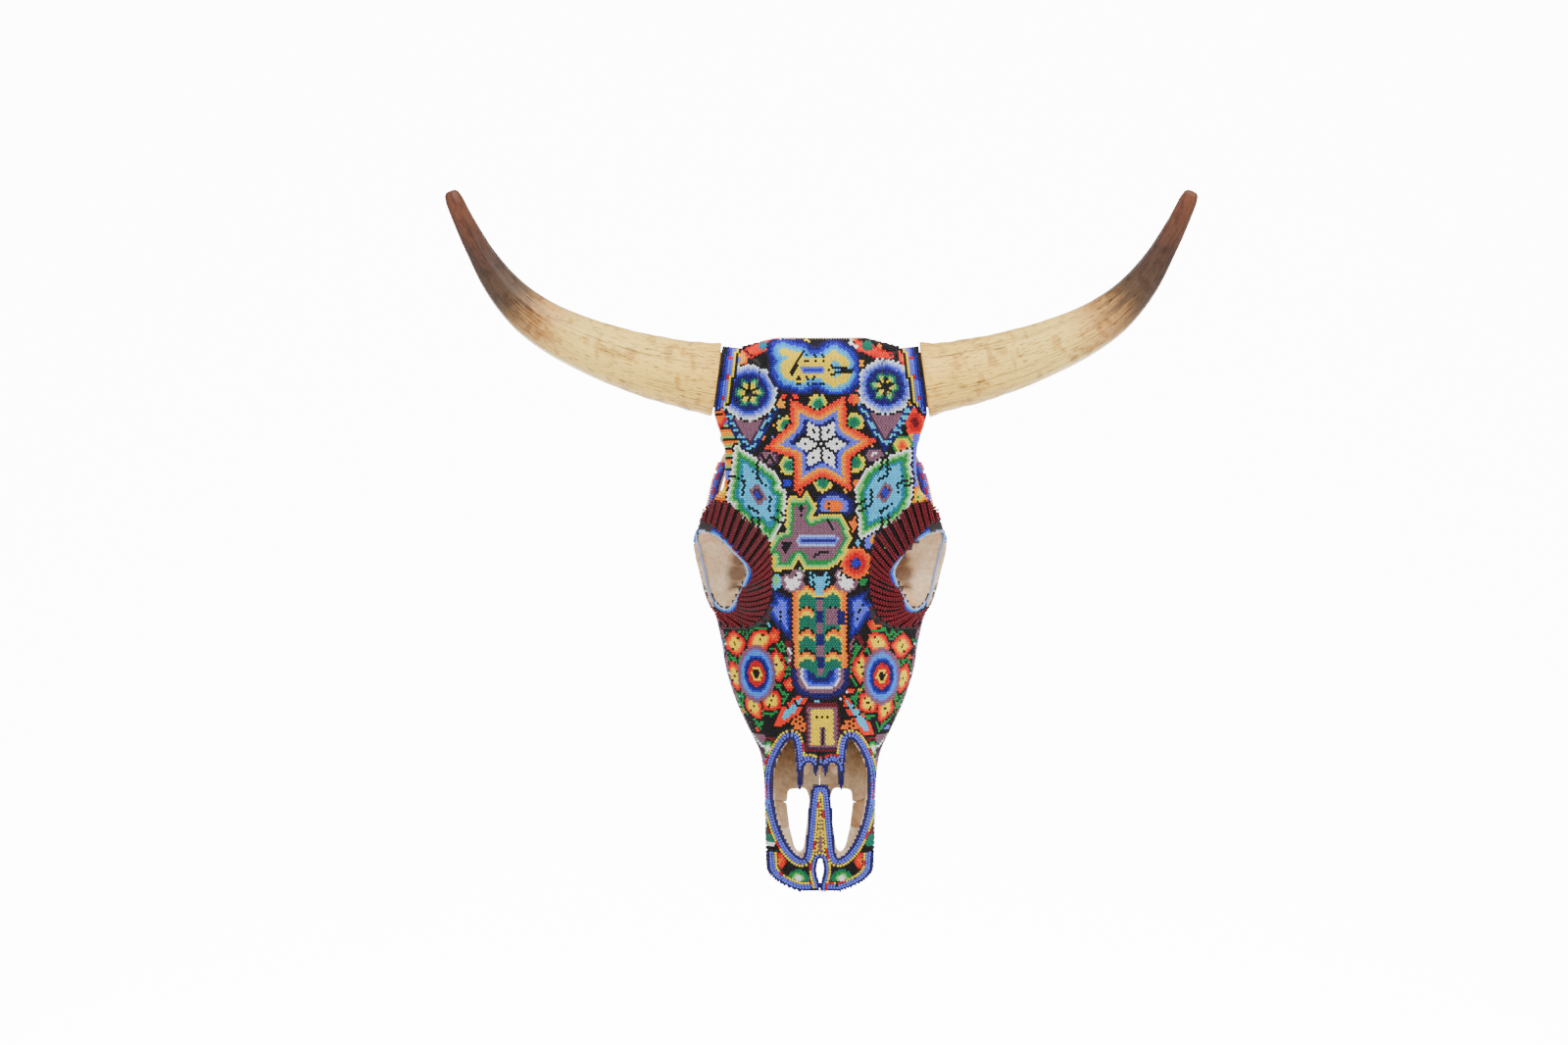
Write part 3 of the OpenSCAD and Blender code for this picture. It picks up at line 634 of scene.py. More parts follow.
# the corded ground round the right eye, seen from the front
FAN_OUTLINE = [(52, 262), (50, 290), (64, 312), (84, 330), (130, 330), (130, 212), (86, 212), (60, 226),
               (44, 232), (40, 246)]


def covered(p, edge, opening, collar_gap, eye_gap):
    """True where the skull is beaded, clear of the edge and of each opening by these distances."""
    x, y, z = p
    if depth_in(BEADED_SIDE, y, z) < edge:
        return False
    if y < 62 and z < 142 and depth_in(NOSE_SMOOTH, x, z) > -opening:
        return False
    if z < 30 and y < 70 and depth_in(SLOT_EDGE, x, z) > -opening:
        return False
    return not in_collar(p, collar_gap) and not (z > 225 and in_eye(p, eye_gap))


# ---------- bead colours ----------

COLOURS = {
    "black": (16, 12, 14),
    "night": (34, 16, 58),
    "navy": (26, 14, 104),
    "blue": (34, 34, 190),
    "lavender": (98, 108, 236),
    "ice": (168, 192, 252),
    "sky": (64, 148, 236),
    "cyan": (72, 196, 238),
    "steel": (28, 128, 160),
    "teal": (14, 116, 92),
    "green": (26, 142, 66),
    "mint": (132, 212, 120),
    "white": (252, 252, 250),
    "yellow": (255, 224, 0),
    "gold": (255, 174, 0),
    "orange": (255, 116, 0),
    "flame": (246, 44, 4),
    "red": (206, 12, 22),
    "maroon": (112, 16, 30),
    "mauve": (136, 92, 112),
    "plum": (70, 34, 66),
    "taupe": (22, 12, 14),
}
INK = {}


def bead_material(name):
    return new_material("beads_" + name, linear(*COLOURS[name]), 0.34, coat=0.08, specular=0.25)


# ---------- ways to paint a figure ----------

# Places and sizes in the beaded picture are millimetres as seen from the front. A layer is a function that
# gives the colour of a bead at x and z, or nothing. Stops are limits and colours in turn.

def dot(x, z, cx, cz, r):
    return (x - cx) ** 2 + (z - cz) ** 2 < r * r


def stroke(x, z, points, width):
    """True if the point lies on a drawn line."""
    return -depth_in(points, x, z, closed=False) < width


def bands(value, *stops):
    """The colour of the first band that the value is below."""
    for limit, colour in zip(stops[::2], stops[1::2]):
        if value < limit:
            return colour
    return None


def dots(colour, radius, *centres):
    return lambda x, z: colour if any(dot(x, z, a, b, radius) for a, b in centres) else None


def line(colour, width, *points):
    return lambda x, z: colour if stroke(x, z, points, width) else None


def rings(cx, cz, wide, tall, *stops):
    """Round bands about a centre, stretched by wide and tall."""
    return lambda x, z: bands(math.hypot((x - cx) / wide, (z - cz) / tall), *stops)


def ribbon(x0, x1, cx, cz, slope, *stops):
    """A slanted ribbon between two values of x."""
    return lambda x, z: bands(abs(z - cz - (x - cx) * slope), *stops) if x0 < x < x1 else None


def first(x, z, *layers):
    """The colour of the topmost layer that has one."""
    for layer in layers:
        colour = layer(x, z)
        if colour:
            return colour
    return None


def patch(x, z, outline, edge, layers, *stops):
    """Layers over bands that follow an outline inwards, from the edge: a depth, below 0 outside it."""
    deep = depth_in(outline, x, z)
    if deep < edge:
        return None
    return first(x, z, *layers) or bands(deep, *stops)


def flower(x, z, cx, cz, wave, petals, *stops):
    """Round bands with a wavy edge."""
    r = math.hypot(x - cx, z - cz) + wave * math.cos(petals * math.atan2(z - cz, x - cx))
    return bands(r, *stops)


FIGURES = []


def figure(x0, x1, z0, z1, paint, *values):
    """Adds a figure under those before it: its box, and what paints it."""
    FIGURES.append((x0, x1, z0, z1, paint, values))


# ---------- the crown of the head ----------

SCORPION = [
    ([(-22, 446), (7, 446)], 8.0),
    ([(-28, 460), (-15, 456)], 3.2),
    ([(-15, 456), (-24, 441)], 4.0),
    ([(-24, 441), (-12, 437)], 3.5),
    ([(9, 453), (15, 457), (21, 454), (24, 450)], 3.6),
    ([(9, 438), (15, 434), (22, 437), (25, 441)], 3.6),
]


def scorpion(x, z):
    """The glow round the thick strokes of its body."""
    away = min(-depth_in(points, x, z, closed=False) - r for points, r in SCORPION)
    return bands(away, 0, "yellow", 2.2, "cyan", 4.6, "sky", 7.2, "blue", 10, "navy", 11, "night")


figure(-42, 36, 424, 470, first,
       dots("black", 1.45, *[(x, z) for z in (452, 456.5) for x in (-8, -1, 6)]),
       dots("black", 1.45, *[(x, z) for z in (433.5, 437.5) for x in (-15, -8, -2)], (5, 433.5), (10, 445)),
       line("black", 1.2, (-11, 460), (-21, 441)),
       line("black", 1.1, (13, 448), (17, 446), (30, 445)),
       line("black", 1.1, (13, 441), (17, 442), (30, 442)),
       line("blue", 1.4, (-10, 445), (4, 445)),
       line("lavender", 3, (-10, 445), (4, 445)),
       scorpion)


def rosette(x, z, cx, cz, turn):
    r = math.hypot(x - cx, z - cz)
    if r > 24.4:
        return None
    angle = math.atan2(z - cz, x - cx) + turn
    petal = 10.8 + 1.7 * math.cos(6 * angle)
    if r < petal:
        spoke = abs(math.sin(3 * (angle + math.pi / 6))) * r / 3
        if r < 2.2 or (r < 8.0 and spoke < 1.1):
            return "black"
        return bands(petal - r, 2.2, "teal", 4.2, "mint", 20, "yellow")
    edge = r + 0.5 * math.cos(30 * angle)
    return bands(edge, 15.4, "navy", 16.8, "blue", 19.2, "lavender", 21.4, "ice", 23.4, "white",
                 24.4, "black")


figure(-82, -32, 400, 452, rosette, -56.5, 426, 0.0)
figure(32, 83, 405, 456, rosette, 57.5, 431, 0.12)


def cone(x, z, outline):
    deep = depth_in(outline, x, z)
    if deep < -1.2:
        return None
    if deep < 4.2:
        beat = (z * 0.9 + abs(x) * 0.5) % 6.4
        if beat < 2.2 or deep < 0:
            return "navy"
        return "cyan" if deep > 1.6 or beat > 4 else "black"
    return "plum" if deep < 5.6 else "mauve"


figure(-80, -32, 373, 412, cone, [(-78, 412), (-34, 412), (-45, 391), (-56, 375), (-68, 390)])
figure(34, 82, 376, 415, cone, [(35, 414), (80, 414), (69, 394), (57, 378), (46, 393)])


# ---------- the star and its daisies ----------

STAR = [(1, 410), (24, 424), (25, 398), (50, 385.5), (27, 371), (28, 343), (4, 356), (-20, 342), (-20, 371),
        (-45, 379), (-22, 400), (-23, 421)]


def star_petals(x, z):
    """Six white petals with black dots, round a white bead."""
    dx = x - 3
    dz = z - 382.5
    r = math.hypot(dx, dz)
    if r < 2.9:
        return "white" if r < 1.4 else "black"
    angle = math.degrees(math.atan2(dz, dx)) % 60
    angle = math.radians(angle if angle < 30 else angle - 60)
    u = r * math.cos(angle)
    v = abs(r * math.sin(angle))
    if v < min(u * 0.577 - 1.2, (22.5 - u) * 0.6):
        return "black" if abs(u - 12.5) < 1.3 and v < 1.3 else "white"
    return None


figure(-47, 52, 340, 426, patch, STAR, -1.1, [star_petals],
       0, "black", 2.9, "flame", 5.2, "orange", 7.2, "gold", 10.4, "lavender", 13.2, "navy", 60, "black")
for middle in ((-26, 398), (-24, 365), (1, 416), (4, 350.5), (31, 401), (31.5, 367)):
    figure(-37, 41, 341, 426, flower, *middle, 0.5, 14,
           3.4, "teal", 4.6, "green", 5.6, "mint", 8.0, "yellow", 9.6, "black")


# ---------- the diamonds ----------

def lozenge(cx, cz, tilt):
    """The small tilted lozenge in the middle of a diamond."""
    def layer(x, z):
        dx = x - cx
        dz = z - cz - tilt * dx
        return bands(abs(dx) / 7.2 + abs(dz) / 9.5, 0.42, "blue", 0.62, "plum", 1.05, "mauve")
    return layer


def diamond(x, z, outline, lines, eyes, heart):
    marks = [line("black", 1.0, *points) for points in lines]
    return patch(x, z, outline, -1, marks + [dots("black", 1.2, *eyes), heart],
                 0, "black", 2.1, "white", 4.2, "mint", 6.8, "green", 9.2, "steel", 60, "cyan")


figure(-79, -24, 299, 384, diamond,
       [(-69, 383), (-50, 370), (-37, 360), (-31, 353), (-32, 347), (-26, 344), (-28, 322), (-32, 312),
        (-41, 300), (-50, 309), (-50, 313), (-57, 312), (-64, 321), (-71, 326), (-71, 332), (-77, 335),
        (-74, 350), (-72, 362)],
       [[(-72, 357), (-61, 351), (-63, 340)], [(-50, 369), (-50.5, 354), (-44, 348)],
        [(-59, 331), (-50.5, 325), (-50.5, 308)], [(-55, 321), (-56, 312)], [(-40, 339), (-41, 327)],
        [(-36, 328), (-28, 323)], [(-41, 322), (-30, 316)]],
       [(-64, 355.5), (-54, 360)], lozenge(-51, 340, -0.5))
figure(30, 82, 299, 382, diamond,
       [(79, 380), (60, 373), (50, 369), (39, 360), (34, 350), (31, 345), (31, 330), (33, 322), (34, 302),
        (43, 307), (52, 312), (60, 314), (70, 322), (76, 331), (79, 338), (80, 352), (78, 366)],
       [[(80, 354), (67, 350), (67, 341)], [(58, 371), (58, 357), (50, 352)], [(54, 369), (53, 361)],
        [(45, 344), (45, 332), (33, 326)], [(40, 336), (32, 331)], [(62, 333), (52.5, 327), (53, 313)],
        [(58, 324), (59, 314)], [(80, 350), (73, 348)]],
       [(61.5, 362), (70.5, 355.5)], lozenge(56, 342, 0.35))


# ---------- the deer, and what lies round it ----------

DEER = [(-21, 341), (-15, 337), (-9, 344), (-1, 331), (-5, 321), (3, 324), (19, 325), (24, 316),
        (28, 303), (22, 290), (17, 283), (8, 278), (-13, 278), (-17, 287), (-23, 277), (-44, 276),
        (-38, 287), (-48, 288), (-41, 300), (-37, 308), (-28, 311), (-27, 325), (-26, 335)]


def deer_flank(x, z):
    """The black wedge on its hind leg."""
    return "black" if -31 < x < -23 and z < 300 and z - 291 > abs(x + 27.5) * 1.8 else None


figure(-50, 30, 274, 346, patch, DEER, -1.2,
       [line("black", 0.9, (8, 319), (12, 311)), line("black", 1.0, (-4, 287), (0, 292), (8, 292)),
        dots("black", 2.2, (-14, 329)), dots("black", 1.2, (-14.5, 323)), dots("black", 2.4, (-30, 311.5)),
        deer_flank, line("navy", 1.5, (-14, 302), (12, 302)), line("lavender", 3.2, (-14, 302), (12, 302)),
        line("ice", 4.6, (-14, 302), (12, 302))],
       0, "black", 2.3, "yellow", 4.3, "mint", 6.6, "green", 60, "mauve")


def small_peyote(x, z):
    r = math.hypot((x - 13) * 0.72, z - 331)
    if r < 5 and (dot(x, z, 8.5, 332, 1.2) or dot(x, z, 8.5, 328, 1.2)):
        return "black"
    return bands(r, 5.5, "orange", 8.4, "lavender", 11.5, "navy")


figure(-3, 31, 320, 346, small_peyote)
figure(16, 46, 268, 298, flower, 31, 283, 0.6, 16,
       3.4, "blue", 4.6, "plum", 8.2, "red", 10.4, "flame", 13.2, "orange", 14.6, "black")


def bird(x, z, cx, flip):
    x = (x - cx) * flip
    if dot(x, z, -2.6, 273, 1.1):
        return "black"
    if dot(x / 1.35, z, 0.8, 265.5, 4.6) or dot(x, z, -3, 272.3, 3.4) or dot(x, z, 6, 268.5, 2.6):
        return "white"
    near = dot(x / 1.35, z, 0.8, 266, 7.2) or dot(x, z, -3, 272.3, 6) or dot(x, z, 6, 269, 5)
    return "mauve" if near else None


figure(-34, -10, 256, 280, bird, -21, -1)
figure(10, 33, 256, 280, bird, 21.5, 1)


def fishbone(x, z):
    if abs(x) < 2.2 - (z - 268) * 0.14 and z < 272:
        return "cyan"
    for foot, tip in ((268, 275.5), (264.5, 271), (260.5, 266.5)):
        if stroke(abs(x), z, [(0.5, foot), (7.4, tip)], 1.0):
            return "cyan"
    return "black" if z > 262 + abs(x) * 0.3 else None


figure(-10, 11, 256, 278, fishbone)
figure(-42, -30, 259, 276, patch, [(-41, 274), (-35, 274), (-30, 268), (-37, 260), (-41, 264)], -0.4, [],
       2.4, "cyan", 60, "mint")
figure(32, 42, 263, 273, first, dots("green", 3.8, (37, 268)))


# ---------- the bridge of the nose ----------

def half_rosette(x, z):
    r = math.hypot(x, (z - 193) * 1.02) * (1 + 0.06 * math.cos(4 * math.atan2(z - 193, x)))
    if z > 193 - 0.35 * abs(abs(x) - 11) and abs(x) < 11:
        return None
    return bands(r, 6.4, "teal", 10.8, "navy", 12.8, "blue", 15.6, "lavender", 17.6, "white", 20.8, "mauve",
                 24.4, "navy", 26.6, "night")


def chevrons(x, z):
    a = abs(x)
    peak = 264.5 - 0.62 * abs(a - 11)
    if z > 265 or z > peak + 1.4:
        return None
    if a < 2.9 and z < 254:
        return "navy" if ((z - 186) // 9.5) % 2 else "mauve"
    if a < 4.6 and z < 252:
        return "teal"
    if x > 4.6 and a < 21 and 231 < z < 246.5 - 0.4 * abs(a - 11):
        return "mauve" if a < 15 else "navy"
    if a > 17.2:
        return bands(a, 19.6, "gold", 22.4, "orange", 24, "black")
    if z > peak:
        return "black"
    if z < 196:
        return "teal"
    return bands((peak - z) % 18.4, 2.8, "orange", 6.0, "yellow", 16.2, "teal", 18.4, "black")


figure(-27, 28, 164, 195, half_rosette)
figure(-24, 24, 186, 266, chevrons)


def feather(x, z, outline, *marks):
    return patch(x, z, outline, -0.9, [dots("black", 1.2, *marks)],
                 0, "black", 2.6, "navy", 4.4, "blue", 60, "lavender")


figure(-47, -20, 216, 262, feather,
       [(-46, 249), (-39, 251), (-40, 260), (-24, 254), (-23, 217), (-32, 225), (-40, 236)],
       (-33, 243), (-33, 239), (-34, 234.5), (-26, 241), (-25, 228))
figure(22, 51, 216, 262, feather,
       [(24, 254), (41, 260), (39, 252), (50, 250), (42, 238), (34, 227), (24, 217)],
       (36, 248), (34, 244.5), (32, 242), (27.5, 241), (32, 236), (25, 229))


# ---------- the cheeks ----------

# Each petal's centre, half length, half width and turn in degrees.
PETALS = [(-71, 214, 9.0, 10.5, 10), (-49.5, 218, 12.0, 8.5, 30), (-35.5, 197, 6.5, 13.5, 5),
          (-41, 166.5, 8.6, 9.6, -35), (-56, 161, 6.6, 12.0, 25), (-71.5, 186, 6.0, 12.5, 14)]
BLOSSOM = [(-84, 214), (-76, 223), (-72, 228), (-66, 223), (-64, 232), (-59, 224), (-56, 231.5), (-45, 228),
           (-41, 211), (-37, 212), (-32, 221), (-30, 213), (-28, 196), (-23, 193), (-36, 178.5), (-26, 172),
           (-41, 152), (-48, 157), (-50, 141), (-62, 154), (-69, 164), (-75, 182), (-79, 198), (-76, 207)]


def blossom_heart(x, z):
    """The oval rosette in the middle."""
    dx = (x + 53) / 0.66
    dz = z - 189
    heart = 4.0 + 1.0 * math.cos(6 * math.atan2(dz, dx))
    return bands(math.hypot(dx, dz), heart, "black", heart + 2.4, "yellow", 11.0, "red", 14.4, "navy",
                 16.2, "blue", 19.0, "sky", 20.6, "lavender", 24.5, "mauve")


def blossom_petals(x, z):
    nearest = 9.0
    for cx, cz, a, b, turn in PETALS:
        t = math.radians(turn)
        u = abs((x - cx) * math.cos(t) + (z - cz) * math.sin(t)) / (a * 1.22)
        v = abs((z - cz) * math.cos(t) - (x - cx) * math.sin(t)) / (b * 1.22)
        if any(dot(x, z, cx + e, cz + f, 1.1) for e, f in ((0, 0), (2.2, 4.4), (-1.8, -4.4))):
            return "black"
        nearest = min(nearest, u ** 1.35 + v ** 1.35 + 0.07 * math.cos(1.9 * x) * math.cos(1.7 * z))
    return bands(nearest, 0.38, "yellow", 0.52, "orange", 0.68, "flame", 0.84, "red", 1.04, "black",
                 1.26, "green", 1.3, "none")


def cheek_blossom(x, z, side):
    """The big oval rosette with its ring of petals, drawn for the left cheek."""
    if side == RIGHT:
        x, z = -x - 2, z + 2
    petals = [blossom_heart, blossom_petals]
    colour = patch(x, z, BLOSSOM, -1.2, petals, 0, "black", 2.2, "green", 60, "black")
    return None if colour == "none" else colour


figure(-86, -20, 139, 234, cheek_blossom, LEFT)
figure(20, 86, 139, 234, cheek_blossom, RIGHT)


# ---------- above the nose opening ----------

def portal(x, z):
    if 129.5 < z < 159.5 and -8.6 < x < 10.4:
        if any(dot(x, z, a, 154, 1.3) for a in (-3.3, 1, 5.4)):
            return "black"
        if abs(x - 1) < 2.4 and z < 145:
            return "night" if abs(x - 1) < 1.2 else "mauve"
        return "yellow"
    dx = max(-8.6 - x, x - 10.4, 0)
    dz = max(129.5 - z, z - 159.5, 0)
    return bands(math.hypot(dx, dz), 2.6, "mauve", 3.4, "plum", 6.0, "maroon")


def comb(x, z, cx, cz):
    """An orange honeycomb with seven holes."""
    holes = [(cx, cz)]
    for i in range(6):
        a = math.radians(60 * i + 20)
        holes.append((cx + 4.3 * math.cos(a), cz + 4.3 * math.sin(a)))
    return first(x, z, dots("black", 1.1, holes[0]), dots("black", 1.15, *holes[1:]),
                 rings(cx, cz, 1, 1, 6.7, "orange", 7.6, "black"))


def spear(x, z, foot, tip):
    ax, az = foot
    dx = tip[0] - ax
    dz = tip[1] - az
    length = math.hypot(dx, dz)
    u = ((x - ax) * dx + (z - az) * dz) / length
    v = abs((x - ax) * dz - (z - az) * dx) / length
    width = 6.4 * math.sin(math.pi * min(max((u + 3) / (length + 6), 0), 1)) ** 0.6
    if not -3 < u < length + 3 or v > width + 1:
        return None
    if v > width or (abs((u - v * 0.9) % 9 - 4) < 0.8 and u > length * 0.45):
        return "black"
    return "cyan" if v < width - 3.4 and u > length * 0.2 else "flame"


def squiggle(x, z, cx, cz):
    wave = cx + 2.1 * math.sin((z - cz) * 0.62)
    if abs(z - cz) < 6.5 and abs(x - wave) < 1.3:
        return "white"
    return bands(math.hypot((x - cx) / 0.62, z - cz), 7, "mauve", 12.5, "maroon")


figure(-13, 15, 120, 169, portal)
figure(-27, -10, 138, 156, comb, -18.5, 147)
figure(14, 32, 135, 153, comb, 23, 144)
figure(-42, -8, 140, 178, spear, (-36, 147), (-14, 171))
figure(14, 50, 128, 176, spear, (43, 134), (20, 170))
for middle in ((-26, 181), (24, 191)):
    figure(-33, 30, 176, 200, first,
           rings(*middle, 0.8, 1, 2.2, "orange", 4.6, "flame", 5.8, "red", 7, "black"))
figure(-35, -20, 192, 220, squiggle, -26.5, 206)
figure(22, 37, 198, 226, squiggle, 29, 212)
figure(12, 26, 164, 186, first,
       line("white", 0.9, (15, 171), (18, 167)), line("white", 0.9, (17, 174), (20.5, 169.5)),
       line("white", 0.9, (20, 176), (22, 173)), line("white", 0.9, (21, 183), (23.5, 179)))


# ---------- the roots of the horns ----------

def ticks(x, z):
    """Green dashes on black."""
    if 438 < z < 447 and 82 < x < 96:
        return "mint" if (x + z) % 5 < 3 else "black"
    return None


def ladder(x, z):
    return ("black", "mint", "gold", "orange")[int(z / 2.1) % 4]


figure(-106, -55, 392, 470, first,
       rings(-66, 454, 1, 1, 3, "lavender", 6, "gold", 8, "orange", 9, "red"),
       dots("black", 1.6, (-52, 453)), dots("cyan", 4, (-52, 454)),
       dots("black", 1.2, (-84, 413), (-87, 411), (-81, 411.5)), line("black", 0.9, (-84, 408), (-80, 408)),
       rings(-83, 408, 7.5, 12, 0.62, "orange", 0.86, "flame", 1.05, "red"))
figure(60, 108, 392, 470, first,
       dots("black", 1.2, (81, 454), (88, 457)), line("black", 0.9, (77, 446), (80, 452)),
       rings(82, 455, 1, 1, 5, "mauve", 7, "gold", 9.5, "orange", 13, "flame"),
       dots("black", 1.2, (94, 422), (97, 423)), line("black", 0.9, (84, 421), (93, 419)),
       rings(94, 421, 10, 13, 0.5, "orange", 0.68, "plum", 0.86, "navy", 1.05, "lavender", 1.25, "black"),
       rings(82, 401, 8, 12, 0.35, "maroon", 0.7, "red", 1, "flame"),
       ticks)
figure(-74, -4, 455, 480, first,
       rings(-44, 465, 1.2, 1, 3.4, "steel"),
       dots("white", 3.2, (-33, 467)), line("white", 1.4, (-36, 463), (-29, 471)),
       ribbon(-63, -31, -50, 461.5, 0.42, 3.4, "flame", 5, "red"),
       rings(-22, 470, 1.6, 1, 3.4, "mauve"), dots("yellow", 2.4, (-8, 469)))
figure(20, 66, 455, 480, first,
       line("white", 1.3, (24, 467), (34, 464)), line("white", 1.3, (28, 459), (30, 470)),
       line("white", 1.3, (33, 458), (32, 466)), rings(43, 465, 1.1, 1, 4.2, "teal"),
       ribbon(33, 66, 40, 463.5, -0.42, 3.4, "flame", 5, "red"))
figure(-82, -68, 360, 400, ladder)


# ---------- small figures on the dark ground ----------

TEMPLE = (0.5, "yellow", 0.8, "gold", 1.1, "orange")
figure(-94, -72, 333, 363, first, dots("lavender", 3.8, (-77, 358.5)), dots("green", 1.2, (-81, 345)),
       rings(-81, 345, 7.2, 9.5, *TEMPLE))
figure(76, 94, 326, 348, first, dots("green", 1.2, (84, 338)), rings(84, 338, 7.2, 9.5, *TEMPLE))
figure(60, 82, 374, 394, first, rings(71, 382, 1, 1, 2, "flame", 4.2, "orange", 6.6, "yellow", 8.6, "green"))
figure(-52, -30, 362, 382, first, line("black", 0.9, (-46, 374), (-43, 368), (-40, 373), (-37, 367)),
       rings(-42, 371, 1.3, 1, 5.4, "mauve", 7, "plum"))
figure(38, 58, 364, 384, first, line("white", 0.9, (45, 373), (50, 376)),
       rings(48, 373, 1.3, 1, 5.4, "mauve", 7.4, "night"))
figure(-50, 58, 226, 252, first, line("cyan", 1.2, (-47, 236), (-45, 232), (-41, 231)),
       line("cyan", 1.2, (-45, 232), (-47.5, 233)), line("cyan", 1.2, (47, 239), (49, 243)),
       rings(47, 231, 1.3, 1, 2.6, "orange", 4.6, "flame", 5.8, "red"))
figure(-44, -32, 214, 230, first, rings(-38, 222, 1 / 1.4, 1, 2.4, "orange", 5, "flame", 6.6, "red"))
figure(-40, 60, 255, 325, first, dots("gold", 4, (47, 303)), dots("lavender", 7, (45, 301)),
       dots("orange", 3.2, (29, 316)), line("orange", 1.6, (29, 310), (30, 320)))
figure(31, 50, 395, 425, first, dots("orange", 4.6, (31, 420)))
figure(-50, 50, 395, 425, first, dots("gold", 3.8, (-30, 416)), dots("flame", 4.6, (31, 420)),
       dots("flame", 2.2, (-28, 423)), dots("flame", 2.4, (-18, 423)))
figure(32, 42, 444, 456, first, dots("gold", 3.4, (36.5, 450)))
figure(-32, -20, 344, 356, first, dots("blue", 3.6, (-25.5, 350)))

BIT_CELL = 11  # distance between the stray figures
BIT_COLOURS = ["orange", "cyan", "mint", "flame", "lavender", "gold"]
GROUND_BITS = {}


def ground(x, z):
    """The dark ground, with a few stray figures two or three beads wide."""
    cell = (round(x / BIT_CELL), round(z / BIT_CELL))
    if cell not in GROUND_BITS:
        pick = random.Random(cell[0] * 97 + cell[1] * 31)
        colour = pick.choice(BIT_COLOURS) if pick.random() < 0.42 else ""
        GROUND_BITS[cell] = (colour, *[(n + pick.uniform(-0.3, 0.3)) * BIT_CELL for n in cell])
    colour, cx, cz = GROUND_BITS[cell]
    return colour if colour and dot(x, z, cx, cz, 2.4) else "black"


# ---------- the muzzle and the sides ----------

def muzzle_colour(x, z):
    """The two lobes at the end of the muzzle, with two round figures each."""
    a = abs(x)
    ball = math.hypot(a - 36, z - 27)
    if ball < 8.6:
        return bands(ball, 3.4, "orange", 6, "flame", 7.6, "red", 8.6, "black")
    bowl = math.hypot((a - 19) / 1.15, z - 11.5)
    if bowl < 9.6 and z > 9:
        return bands(bowl, 2.8, "white", 4.4, "mint", 7, "green", 8.4, "teal", 9.6, "taupe")
    if a > 38 and z > 40:
        return "white" if x <= 0 and z < 44 else "teal"
    return "black"


# Centre y and z, and radius, of each flower on the side of the face.
SIDE_FLOWERS = [(72, 182, 12), (70, 212, 9), (82, 222, 7), (84, 160, 9), (64, 152, 7), (62, 120, 7),
                (58, 92, 6), (62, 66, 5.5), (66, 42, 4.6), (60, 240, 6)]


def side_colour(y, z):
    """Figures on the cheeks and the side of the muzzle, out of sight from the front."""
    edge = depth_in(BEADED_SIDE, y, z)
    if edge < 7.2 and y > 40:
        return bands(edge, 2.2, "navy", 5.0, "lavender", 7.2, "gold" if int(z / 7) % 4 else "red")
    for cy, cz, r in SIDE_FLOWERS:
        d = math.hypot(y - cy, z - cz) / r
        if d < 1.15:
            heart = 0.42 + 0.08 * math.cos(6 * math.atan2(z - cz, y - cy))
            return bands(d, heart * 0.5, "black", heart, "yellow", 0.62, "red", 0.78, "navy", 0.9, "sky",
                         1.0, "white", 1.15, "black")
    wave = (z + 5 * math.sin(y / 5)) % 26
    return bands(wave, 2.2, "white", 4.4, "teal", 17, "mauve", 26, "plum")


def face_colour(x, y, z):
    """The colour of the bead at a place on the face."""
    if z < 50:
        return muzzle_colour(x, z)
    if y > 56 or (z < 137 and abs(x) > 46):
        return side_colour(y, z)
    if z < 137 and abs(x) > 38:
        d = math.hypot((abs(x) - 43) * 1.6, z - 124)
        if d < 9:
            return bands(d, 3.4, "white", 5.4, "mint", 7.4, "green", 9, "black")
        return ("red", "maroon", "black", "teal", "sky")[int(z / 8) % 5]
    # the beaded picture leans a little to one side
    u = x + 0.0144 * z - 2.5
    for x0, x1, z0, z1, paint, values in FIGURES:
        if x0 < u < x1 and z0 < z < z1:
            colour = paint(u, z, *values)
            if colour:
                return colour
    if abs(x) > 74 and z > 340:
        return "lavender" if abs(x) > 77 else "gold"
    return ground(u, z)


# ---------- bead positions ----------

PITCH = 2.2  # distance between neighbouring beads
LIFT = 1.1  # of a bead's middle above the bone
REACH = 9  # how far above the smooth skull the real bone is looked for
ROW_GAP = 1.9  # least distance between the middles of two beads in rows
STRING_GAP = 1.75
TIGHT_GAP = 1.7
MUZZLE_TOP = 137  # z
NOSE_BONE_TOP = 276
CELL = 3  # size of the boxes that taken sorts the beads by
BONES = []
beads = []  # (panel, position, outward direction, colour)
taken = {}


def cell_of(p):
    return int(p[0] // CELL), int(p[1] // CELL), int(p[2] // CELL)


def is_free(p, gap):
    a, b, c = cell_of(p)
    for i in (a - 1, a, a + 1):
        for j in (b - 1, b, b + 1):
            for k in (c - 1, c, c + 1):
                for q in taken.get((i, j, k), ()):
                    if (p[0] - q[0]) ** 2 + (p[1] - q[1]) ** 2 + (p[2] - q[2]) ** 2 < gap * gap:
                        return False
    return True


def add_bead(panel, p, n, colour, gap=ROW_GAP):
    """Adds a bead unless it would run into another."""
    if not is_free(p, gap):
        return False
    taken.setdefault(cell_of(p), []).append(p)
    beads.append((panel, np.array(p), np.array(n), colour))
    return True


def bone_tree():
    """All the smoothed bones as one searchable surface, in skull coordinates."""
    verts = []
    faces = []
    for obj in BONES:
        start = len(verts)
        co = np.empty(len(obj.data.vertices) * 3)
        obj.data.vertices.foreach_get("co", co)
        verts.extend((co.reshape(-1, 3) * 1000 + HOOK).tolist())
        faces.extend([[v + start for v in f.vertices] for f in obj.data.polygons])
    return BVHTree.FromPolygons(verts, faces)


